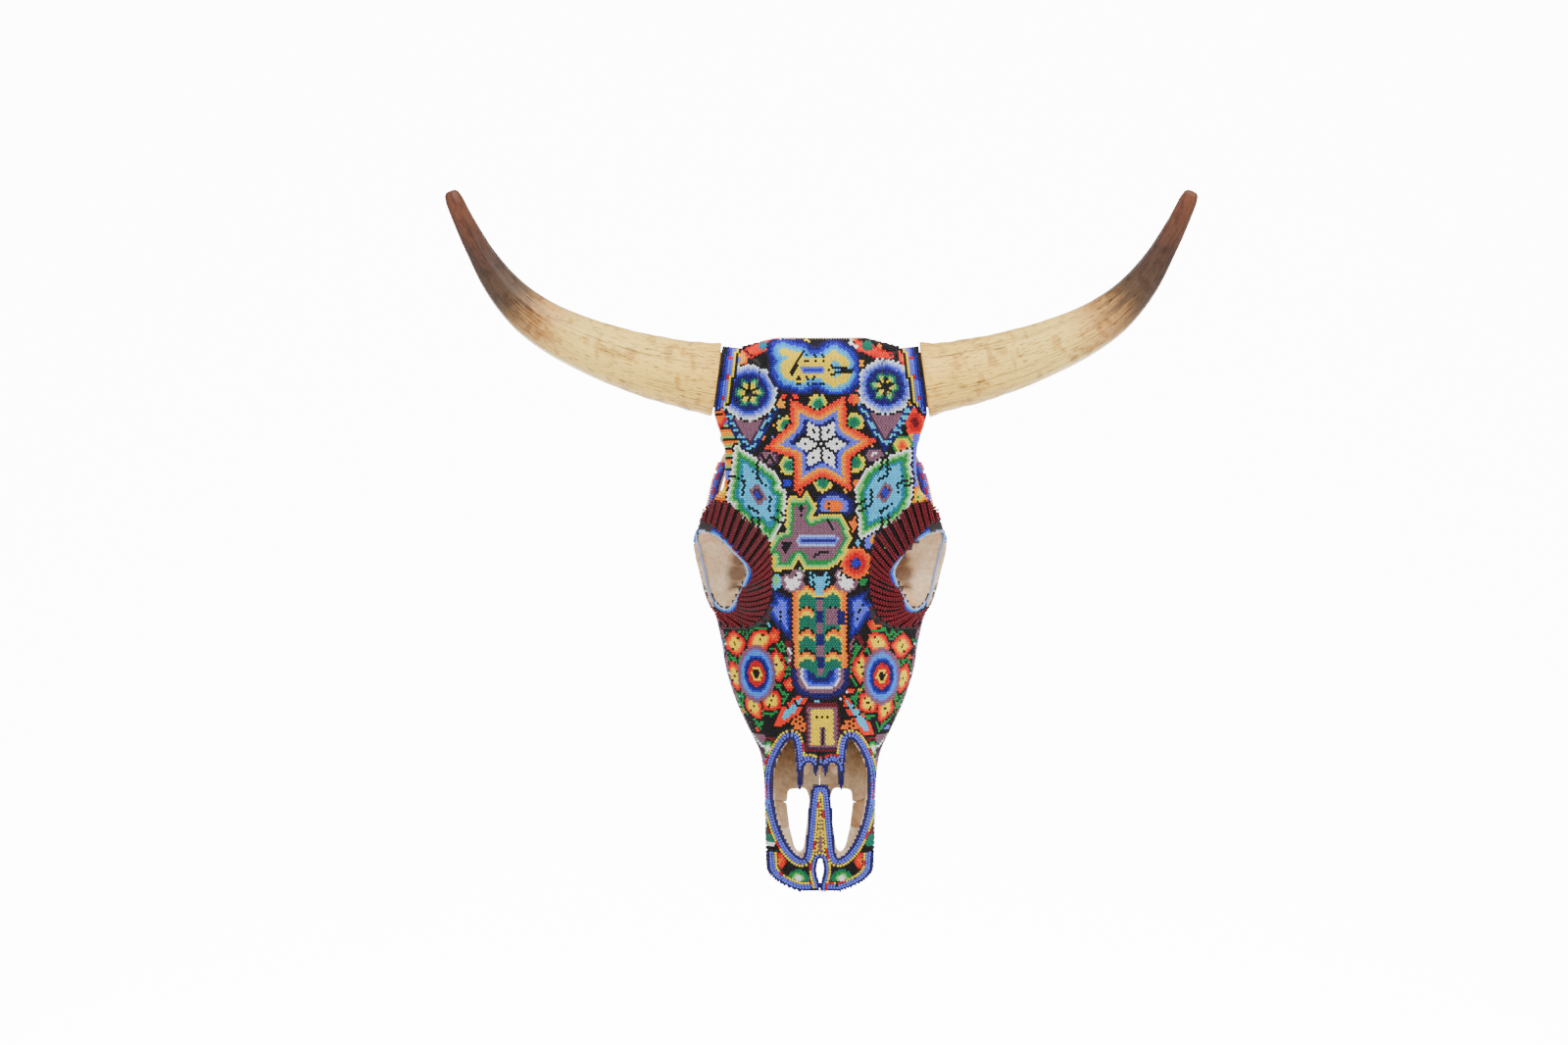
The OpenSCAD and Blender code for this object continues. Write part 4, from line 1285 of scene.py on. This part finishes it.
def on_bone(tree, p, n, lift):
    """The place lift above the bone under p, looking along -n; never below the smooth skull."""
    p = Vector(p)
    n = Vector(n)
    hit = tree.ray_cast(p + n * REACH, -n, REACH + 5)
    rise = lift
    if hit[0] is not None:
        rise = max(lift, REACH - hit[3] + lift * 0.75)
    return np.array(p + n * min(rise, lift + 3.5))


def grid_rows():
    """Rows of bead places: for each row, points and directions along the section, one pitch apart."""
    front = GRID[:, 0, :]
    run = lengths_along(front)
    count = int(run[-1] / (PITCH * 0.875))
    for k in range(count + 1):
        f = float(np.interp(run[-1] * k / count, run, np.arange(RINGS)))
        i = min(int(f), RINGS - 2)
        t = f - i
        ring = GRID[i] * (1 - t) + GRID[i + 1] * t
        normal = NORMALS[i] * (1 - t) + NORMALS[i + 1] * t
        for side in (RIGHT, LEFT):
            order = np.arange(0, HALF + 1) if side == RIGHT else (-np.arange(0, HALF + 1)) % AROUND
            line = ring[order]
            aim = normal[order]
            steps = lengths_along(line)
            start = (PITCH if side == LEFT else 0) if k % 2 == 0 else PITCH / 2
            for d in np.arange(start, steps[-1], PITCH):
                g = float(np.interp(d, steps, np.arange(len(steps))))
                j = min(int(g), len(line) - 2)
                w = g - j
                p = line[j] * (1 - w) + line[j + 1] * w
                n = aim[j] * (1 - w) + aim[j + 1] * w
                yield p, n / np.linalg.norm(n)


def front_sheet():
    table = []
    for i in range(RINGS):
        ring = GRID[i]
        widest = int(np.argmax(ring[:HALF, 0]))
        table.append((ring[0, 2], ring[:widest + 1], NORMALS[i, :widest + 1]))
    return table


SHEET = front_sheet()
SHEET_Z = np.array([row[0] for row in SHEET])


def at_front(x, z):
    """The point of the smooth skull seen from the front at x and z, with its direction, or nothing."""
    f = float(np.interp(z, SHEET_Z, np.arange(len(SHEET))))
    i = min(int(f), len(SHEET) - 2)
    t = f - i
    out = []
    for k in (i, i + 1):
        ring = SHEET[k][1]
        if abs(x) > ring[-1, 0] + 0.5:
            return None
        y = float(np.interp(abs(x), ring[:, 0], ring[:, 1]))
        n = np.array([np.interp(abs(x), ring[:, 0], SHEET[k][2][:, c]) for c in range(3)])
        out.append((y, n))
    y = out[0][0] * (1 - t) + out[1][0] * t
    n = out[0][1] * (1 - t) + out[1][1] * t
    n = n * np.array([1 if x > 0 else -1, 1, 1])
    return np.array([x, y, z]), n / np.linalg.norm(n)


def even_points(line, pitch, closed):
    """Points one pitch apart along a line."""
    p = np.array(line, dtype=float)
    if closed:
        p = np.vstack([p, p[:1]])
    run = lengths_along(p)
    count = max(int(round(run[-1] / pitch)), 1)
    at = np.linspace(0, run[-1], count + (0 if closed else 1), endpoint=not closed)
    return np.stack([np.interp(at, run, p[:, c]) for c in range(p.shape[1])], axis=1)


def offset_line(outline, away):
    """A closed outline moved outwards, without the parts that would cross it."""
    p = even_points(outline, 0.5, True)
    d = np.roll(p, -1, axis=0) - np.roll(p, 1, axis=0)
    n = np.stack([d[:, 1], -d[:, 0]], axis=1)
    n /= np.maximum(np.linalg.norm(n, axis=1, keepdims=True), 1e-9)
    area = np.sum(p[:, 0] * np.roll(p[:, 1], -1) - np.roll(p[:, 0], -1) * p[:, 1])
    q = p + n * away * (1 if area > 0 else -1)
    keep = []
    for point in q:
        near = np.min(np.linalg.norm(p - point, axis=1))
        keep.append(near > abs(away) - 0.25)
    return q[np.array(keep)]


def panel_of(x, y, z):
    """The panel of beads that a place belongs to."""
    side = LEFT if x < 0 else RIGHT
    if z < MUZZLE_TOP:
        return sided("beads_muzzle", side)
    if z < NOSE_BONE_TOP and abs(x) < 26 and y < 34:
        return "beads_nasal"
    return sided("beads_cheek" if z < NOSE_BONE_TOP else "beads_forehead", side)


def string_of_beads(tree, line, colour_at):
    """Beads strung along a line seen from the front."""
    last = None
    for i, (x, z) in enumerate(line):
        if last is not None and math.hypot(x - last[0], z - last[1]) < PITCH - 0.1:
            continue
        found = at_front(x, z)
        if found is None:
            continue
        p, n = found
        q = on_bone(tree, p, n, LIFT)
        if add_bead(panel_of(x, p[1], z), q, n, colour_at(i), STRING_GAP):
            last = (x, z)


def border(i):
    """Yellow edging with a few red beads now and then."""
    return "red" if (i // 14) % 5 == 0 else "yellow"


def edge_strings(tree):
    """The strings of beads round the nose opening and the gap in the muzzle."""
    nose = smooth_closed(NOSE_EDGE, 5)
    for away, colour_at in ((1.0, lambda i: "navy"), (3.1, lambda i: "lavender"), (5.2, lambda i: "lavender"),
                            (7.3, border)):
        string_of_beads(tree, offset_line(nose, away), colour_at)
    gap = smooth_closed(SLOT_EDGE, 5)
    for away, colour_at in ((1.0, lambda i: "navy"), (3.1, lambda i: "lavender"), (5.2, border)):
        string_of_beads(tree, [p for p in offset_line(gap, away) if p[1] > 1.5], colour_at)


def bar_colour(x, z):
    """The thin bar in the middle of the nose."""
    if abs(x) < (86 - z) * 0.085 and z > 36:
        return "mauve" if abs(x) < (66 - z) * 0.07 else "yellow"
    return "blue" if abs(x) < (88 - z) * 0.085 + 2 else "lavender"


def muzzle_outline():
    """The outline of the end of the muzzle, seen from the front."""
    right = []
    for z in np.arange(0, 60, 1.5):
        f = float(np.interp(z, GRID[:, 0, 2], np.arange(RINGS)))
        ring = GRID[int(round(f))]
        right.append((float(ring[:, 0].max()), z))
    return right + [(-x, z) for x, z in reversed(right)]


def muzzle_edge(tree):
    """Border strings along the lower edge of the muzzle."""
    outline = muzzle_outline()
    for inset, name in ((1.0, "navy"), (3.1, "lavender"), (5.2, "lavender"), (7.3, "yellow")):
        line = [p for p in offset_line(outline, -inset) if p[1] < 34 and (abs(p[0]) > 7 or name != "yellow")]
        string_of_beads(tree, line, border if name == "yellow" else lambda i, c=name: c)


def fill_beads(tree):
    """Rows of beads over everything that is still bare."""
    for p, n in grid_rows():
        if not covered(p, 0.6, 0.9, 0.5, 1.2):
            continue
        x, y, z = p
        q = on_bone(tree, p, n, LIFT)
        if abs(x) > 38 and y < 60 and depth_in(FAN_OUTLINE, abs(x), z) > 0.4 and z > 226:
            panel = sided("beads_eye", LEFT if x < 0 else RIGHT)
            colour = "maroon" if int((y + z) / 2.4) % 3 else "taupe"
            add_bead(panel, q, n, colour, 2.9)
            continue
        if z < 96 and abs(x) < 14 and z > 31 and y > 30:
            colour = bar_colour(x, z)
        else:
            colour = face_colour(x, y, z)
        add_bead(panel_of(x, y, z), q, n, colour)


# ---------- corded feathers round the eyes ----------

# Where each cord begins beside the eye and ends, drawn for the right side.
FAN_FROM = [(99, 321), (91, 317), (83, 310), (75, 300), (67, 291), (59, 283), (55, 275), (57, 267), (64, 260),
            (67, 254), (68, 247), (69, 243), (75, 240), (82, 240), (88, 243), (93, 250)]
FAN_TO = [(95, 332), (87, 335), (77, 333), (66, 324), (55, 313), (45, 303), (43, 290), (42, 279), (42, 269),
          (42, 259), (44, 249), (48, 239), (57, 231.5), (68, 229.5), (78, 231), (87, 237)]
CORDS = 27
CORD_SIDES = 8  # points over each cord


def fan_line(f):
    """The line of one cord: f runs from 0 at the top to 1 at the bottom."""
    t = f * (len(FAN_FROM) - 1)
    i = np.arange(len(FAN_FROM))
    start = np.array([np.interp(t, i, [p[c] for p in FAN_FROM]) for c in (0, 1)])
    end = np.array([np.interp(t, i, [p[c] for p in FAN_TO]) for c in (0, 1)])
    bow = np.array([0.0, -2.2]) * math.sin(math.pi * min(max((f - 0.35) / 0.5, 0), 1))
    return [start + (end - start) * u + bow * 4 * u * (1 - u) for u in np.linspace(0, 1, 25)]


def fan(tree, side):
    """Raised maroon cords with near-black gaps, fanned round one eye; the gaps are dark beads, darkened
    further as painted shade in the grooves.
    """
    panel = sided("beads_eye", side)
    for i in range(CORDS * 3):
        f = (i + 0.5) / (CORDS * 3)
        # the low beads between the cords are dark beads, made near black as painted shade in the grooves
        raise_by, colour, gap = (2.3, "maroon", 1.45) if i % 3 < 2 else (0.6, "taupe", TIGHT_GAP)
        for x, z in even_points(fan_line(f), 2.05, False):
            found = at_front(side * x, z)
            if found is None:
                continue
            p, n = found
            if in_eye(p, 1.0):
                continue
            add_bead(panel, on_bone(tree, p, n, LIFT) + n * raise_by, n, colour, gap)


def fan_cords(tree, side):
    """The thick dark cords under the raised beads."""
    verts = []
    faces = []
    for i in range(CORDS):
        f = (i * 3 + 1.0) / (CORDS * 3)
        rows = 0
        start = len(verts)
        for x, z in even_points(fan_line(f), 3.0, False):
            found = at_front(side * x, z)
            if found is None or in_eye(found[0], 1.0):
                continue
            p, n = found
            q = on_bone(tree, p, n, 1.0) + n * 0.2
            lower = np.array(fan_line(min(f + 0.01, 1))[12]) - np.array(fan_line(max(f - 0.01, 0))[12])
            wide = np.array([side * lower[0], 0, lower[1]])
            wide = wide - n * (wide @ n)
            wide /= max(np.linalg.norm(wide), 1e-9)
            for a in range(CORD_SIDES):
                t = math.pi * a / (CORD_SIDES - 1)
                verts.append(q + wide * 2.0 * math.cos(t) + n * (2.5 * math.sin(t) - 0.6))
            rows += 1
        faces += quads_between(start, rows, CORD_SIDES, closed=False)
    return verts, faces


def eye_strings(tree, side):
    """Four strings round the eye socket, from pale blue inside to navy."""
    panel = sided("beads_eye", side)
    out = Vector(EYE_OUT * mirror(side))
    rim = smooth_closed(EYE_RIM, 10)
    for away, name in ((0.9, "ice"), (2.9, "sky"), (4.9, "blue"), (6.9, "navy")):
        ring = [p + away * (p - EYE_MIDDLE) / np.linalg.norm(p - EYE_MIDDLE) for p in rim]
        for p in even_points(ring, 2.15, True):
            if away > 4 and p[1] > 50:
                continue
            q = Vector((side * p[0], p[1], p[2]))
            hit = tree.find_nearest(q, 12)
            if hit[0] is None:
                continue
            n = hit[1]
            if n.dot(out) < 0.05:
                n = (n + out * 0.8).normalized()
            add_bead(panel, np.array(hit[0] + n * 1.0), np.array(n), name, TIGHT_GAP)


# ---------- collars at the roots of the horns ----------

COLLAR_BANDS = (2.2, "black", 4.6, "navy", 6.6, "blue", 10.4, "lavender", 12.6, "yellow", 14.8, "black")


def collar(tree, side):
    """Rings of beads round the root of one horn."""
    radius = ROOT_RADIUS + 2.4 + 0.9
    count = int(2 * math.pi * radius / PITCH)
    line = horn_line(side, ROOT_START, -2.2, 15, core_heading)
    for row, (s, centre, heading) in enumerate(reversed(line)):
        u = in_plane(side, heading + 90)
        for i in range(count):
            a = 2 * math.pi * (i + 0.5 * (row % 2)) / count
            n = math.cos(a) * u + math.sin(a) * ACROSS_HORN
            p = centre + radius * n
            hit = tree.ray_cast(Vector(p + n * 30), Vector(-n), 33.5)
            if hit[0] is not None and 30 - hit[3] > 0.8:
                continue
            if p[1] > 62:
                continue
            slant = -s - 0.1 * (p[2] - centre[2])
            colour = bands(slant, *COLLAR_BANDS)
            if 6.6 < slant < 9 and (i // 2) % 4 == 0:
                colour = "red"
            if colour is None:
                colour = face_colour(p[0], min(p[1], 50), p[2])
            add_bead(sided("beads_horn", side), p, n, colour, TIGHT_GAP)


# ---------- cheek arches ----------

ARCH_PATH = [(99, 66, 286), (97, 72, 308), (92, 77, 334), (87, 80, 356), (78, 82, 376)]
ARCH_STRINGS = [
    ["yellow"], ["gold"], ["orange", "flame"], ["lavender"], ["lavender", "red"], ["blue"], ["navy"],
]


def arch(tree, side):
    """Lengthwise strings of beads on the outer side of the bar behind the eye."""
    p = np.array(ARCH_PATH, dtype=float)
    fine = even_points([spline(p[max(i - 1, 0)], p[i], p[i + 1], p[min(i + 2, 4)], t)
                        for i in range(4) for t in (0, 0.25, 0.5, 0.75)], 2.15, False)
    for step, colours in enumerate(ARCH_STRINGS):
        a = math.radians(-6 - 17 * step)
        n = np.array([math.cos(a) * side, math.sin(a), 0.0])
        for i, q in enumerate(fine):
            if not 318 < q[2] < 370:
                continue
            q = q * mirror(side)
            hit = tree.ray_cast(Vector(q + n * 20), Vector(-n), 20)
            if hit[0] is None:
                continue
            colour = colours[i // 3 % len(colours)]
            add_bead(sided("beads_arch", side), np.array(hit[0]) + n * 1.0, n, colour, TIGHT_GAP)


# ---------- building the beads ----------

BEAD_SIDES = 6
# distance from the bead's axis and height above its seat
BEAD_PROFILE = [(0.98, -0.85), (1.12, 0.1), (0.72, 0.95), (0.34, 0.45)]


def bead_template():
    """Points and faces of one bead, a small faceted ring."""
    points = []
    for r, h in BEAD_PROFILE:
        for i in range(BEAD_SIDES):
            a = 2 * math.pi * i / BEAD_SIDES
            points.append((r * math.cos(a), r * math.sin(a), h))
    return np.array(points), np.array(quads_between(0, len(BEAD_PROFILE), BEAD_SIDES))


def unit(vectors):
    """The vectors, each made one long."""
    return vectors / np.linalg.norm(vectors, axis=1, keepdims=True)


def bead_object(name, members):
    """One object with a panel's beads and a material for each colour."""
    shape, quads = bead_template()
    count = len(members)
    centres = np.array([m[1] for m in members])
    tilt = np.array([[dice.uniform(-0.13, 0.13) for _ in range(3)] for _ in members])
    up = unit(unit(np.array([m[2] for m in members])) + tilt)
    helper = np.where(np.abs(up[:, 2:3]) < 0.9, np.array([[0.0, 0.0, 1.0]]), np.array([[1.0, 0.0, 0.0]]))
    side = unit(np.cross(helper, up))
    other = np.cross(up, side)
    turn = np.array([dice.uniform(0, math.pi) for _ in members])[:, None]
    a = side * np.cos(turn) + other * np.sin(turn)
    b = np.cross(up, a)
    grow = np.array([dice.uniform(0.94, 1.04) for _ in members])[:, None, None]
    local = shape[None, :, :] * grow
    points = (centres[:, None, :] + local[:, :, 0:1] * a[:, None, :] + local[:, :, 1:2] * b[:, None, :]
              + local[:, :, 2:3] * up[:, None, :])
    verts = put(points.reshape(-1, 3))
    faces = (quads[None, :, :] + (np.arange(count) * len(shape))[:, None, None]).reshape(-1, 4)
    mesh = bpy.data.meshes.new(name)
    mesh.vertices.add(len(verts))
    mesh.vertices.foreach_set("co", verts.ravel())
    mesh.loops.add(len(faces) * 4)
    mesh.loops.foreach_set("vertex_index", faces.ravel())
    mesh.polygons.add(len(faces))
    mesh.polygons.foreach_set("loop_start", np.arange(len(faces)) * 4)
    names = sorted(set(m[3] for m in members))
    for n in names:
        mesh.materials.append(INK[n])
    index = {n: i for i, n in enumerate(names)}
    each = np.repeat([index[m[3]] for m in members], len(quads))
    mesh.polygons.foreach_set("material_index", each)
    mesh.update(calc_edges=True)
    mesh.validate()
    mesh.shade_smooth()
    return new_object(name, mesh)


# the two halves of the forehead are one node
PANEL_NODE = {
    "beads_forehead_left": "beads_forehead",
    "beads_forehead_right": "beads_forehead",
}
MOST_BEADS = 5300  # in one object


def build_beads():
    """Turns the list of beads into objects, panel by panel."""
    for name in COLOURS:
        INK[name] = bead_material(name)
    panels = {}
    for b in beads:
        panels.setdefault(b[0], []).append(b)
    for panel, members in sorted(panels.items()):
        for part in range(0, len(members), MOST_BEADS):
            name = panel if part == 0 else panel + "_" + str(part // MOST_BEADS + 1)
            obj = bead_object(name, members[part:part + MOST_BEADS])
            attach(obj, "skull")
            node = PANEL_NODE.get(panel, panel)
            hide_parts(node)


# ---------- wax under the beads ----------

GRID_STEP = 2  # points of the skull's grid between the wax layer's points
WAX_AROUND = 40  # points round the wax under each collar


def wax_layer(tree):
    """A dark skin that shows between the beads."""
    verts = []
    number = {}
    faces = []

    def vertex(i, j):
        key = (i, j)
        if key not in number:
            number[key] = len(verts)
            verts.append(on_bone(tree, GRID[i, j], NORMALS[i, j], 0.55))
        return number[key]

    for i in range(RINGS - 1):
        for j in range(0, AROUND, GRID_STEP):
            b = (j + GRID_STEP) % AROUND
            if covered((GRID[i, j] + GRID[i + 1, b]) / 2, 0.2, 0.2, -0.5, 0.4):
                faces.append((vertex(i, j), vertex(i, b), vertex(i + 1, b), vertex(i + 1, j)))
    for side in (LEFT, RIGHT):
        cord_verts, cord_faces = fan_cords(tree, side)
        start = len(verts)
        verts.extend(cord_verts)
        faces.extend([tuple(v + start for v in f) for f in cord_faces])
    for side in (LEFT, RIGHT):
        line = horn_line(side, ROOT_START, -1.2, 12, core_heading)
        faces += quads_between(len(verts), len(line), WAX_AROUND)
        for s, centre, heading in line:
            u = in_plane(side, heading + 90)
            for i in range(WAX_AROUND):
                a = 2 * math.pi * i / WAX_AROUND
                n = math.cos(a) * u + math.sin(a) * ACROSS_HORN
                verts.append(centre + (ROOT_RADIUS + 2.3) * n)
    obj = new_mesh("wax", verts, faces)
    thick = obj.modifiers.new("thick", "SOLIDIFY")
    thick.thickness = 0.0007
    thick.offset = -1
    obj.data.shade_smooth()
    obj.data.materials.append(new_material("wax", linear(24, 10, 12), 0.6))
    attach(obj, "skull")
    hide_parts("beads_arch_left", "beads_arch_right")


# ---------- setting ----------

def sheet_of(name, corners, material):
    """A flat four-cornered surface that isn't part of the object."""
    mesh = bpy.data.meshes.new(name)
    mesh.from_pydata(corners, [], [(0, 1, 2, 3)])
    mesh.materials.append(material)
    new_object(name, mesh)


def setting():
    """A pale floor far below, a white screen far behind, soft light, and the camera."""
    floor = -1.15
    far = 2.8
    pale = new_material("floor_pale", (0.86, 0.86, 0.86), 0.9, specular=0.1)
    sheet_of("floor", [(-9, -9, floor), (9, -9, floor), (9, 9, floor), (-9, 9, floor)], pale)
    glow = new_material("screen_white", (0.9, 0.9, 0.9), 0.9, specular=0.1)
    shader = glow.node_tree.nodes["Principled BSDF"]
    shader.inputs["Emission Color"].default_value = (1, 1, 1, 1)
    shader.inputs["Emission Strength"].default_value = 12.0
    sheet_of("screen", [(-1.56, far, floor), (1.5, far, floor), (1.5, far, 0.95), (-1.56, far, 0.95)], glow)

    world = bpy.data.worlds.new("light")
    bpy.context.scene.world = world
    world.use_nodes = True
    back = world.node_tree.nodes["Background"]
    back.inputs[0].default_value = (1, 1, 1, 1)
    back.inputs[1].default_value = 0.95

    for name, place, size, power in (
        ("key", (1.1, -1.9, 1.5), 1.2, 72),
        ("fill", (-1.6, -2.0, 0.4), 1.8, 24),
        ("top", (0.1, -0.9, 2.2), 1.6, 24),
    ):
        light = bpy.data.lights.new(name, "AREA")
        light.size = size
        light.energy = power
        lamp = new_object(name, light)
        lamp.location = place
        aim = Vector((0, 0, -0.1)) - Vector(place)
        lamp.rotation_euler = aim.to_track_quat("-Z", "Y").to_euler()

    camera = bpy.data.cameras.new("camera")
    camera.lens = 65
    camera.sensor_width = 36
    eye = new_object("camera", camera)
    eye.location = (-0.031, -2.48, -0.109)
    eye.rotation_euler = (math.radians(90), 0, 0)
    bpy.context.scene.camera = eye


# ---------- the whole skull ----------

def bones():
    """Every bone, horn core and tooth."""
    for node in sorted(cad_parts):
        if node.startswith("beads_") or node.startswith("horn_sheath"):
            continue
        if node.startswith(("molar", "premolar")):
            obj = organic(node, "tooth_" + node, ENAMEL, 0.8, 3, 0.4, 0.2)
        elif node.startswith("horn_core"):
            obj = organic(node, "bone_" + node, CORE_BONE, 1.6, 6, 0.0, 0.5)
        else:
            obj = organic(node, "bone_" + node, BONE, 1.5, 5, 0.7, 0.25)
        BONES.append(obj)


setting()
bones()
for horn_side in (LEFT, RIGHT):
    horn_sheath(horn_side)
bone_surface = bone_tree()
for eye_side in (LEFT, RIGHT):
    eye_strings(bone_surface, eye_side)
edge_strings(bone_surface)
muzzle_edge(bone_surface)
for eye_side in (LEFT, RIGHT):
    fan(bone_surface, eye_side)
    collar(bone_surface, eye_side)
    arch(bone_surface, eye_side)
fill_beads(bone_surface)
build_beads()
wax_layer(bone_surface)
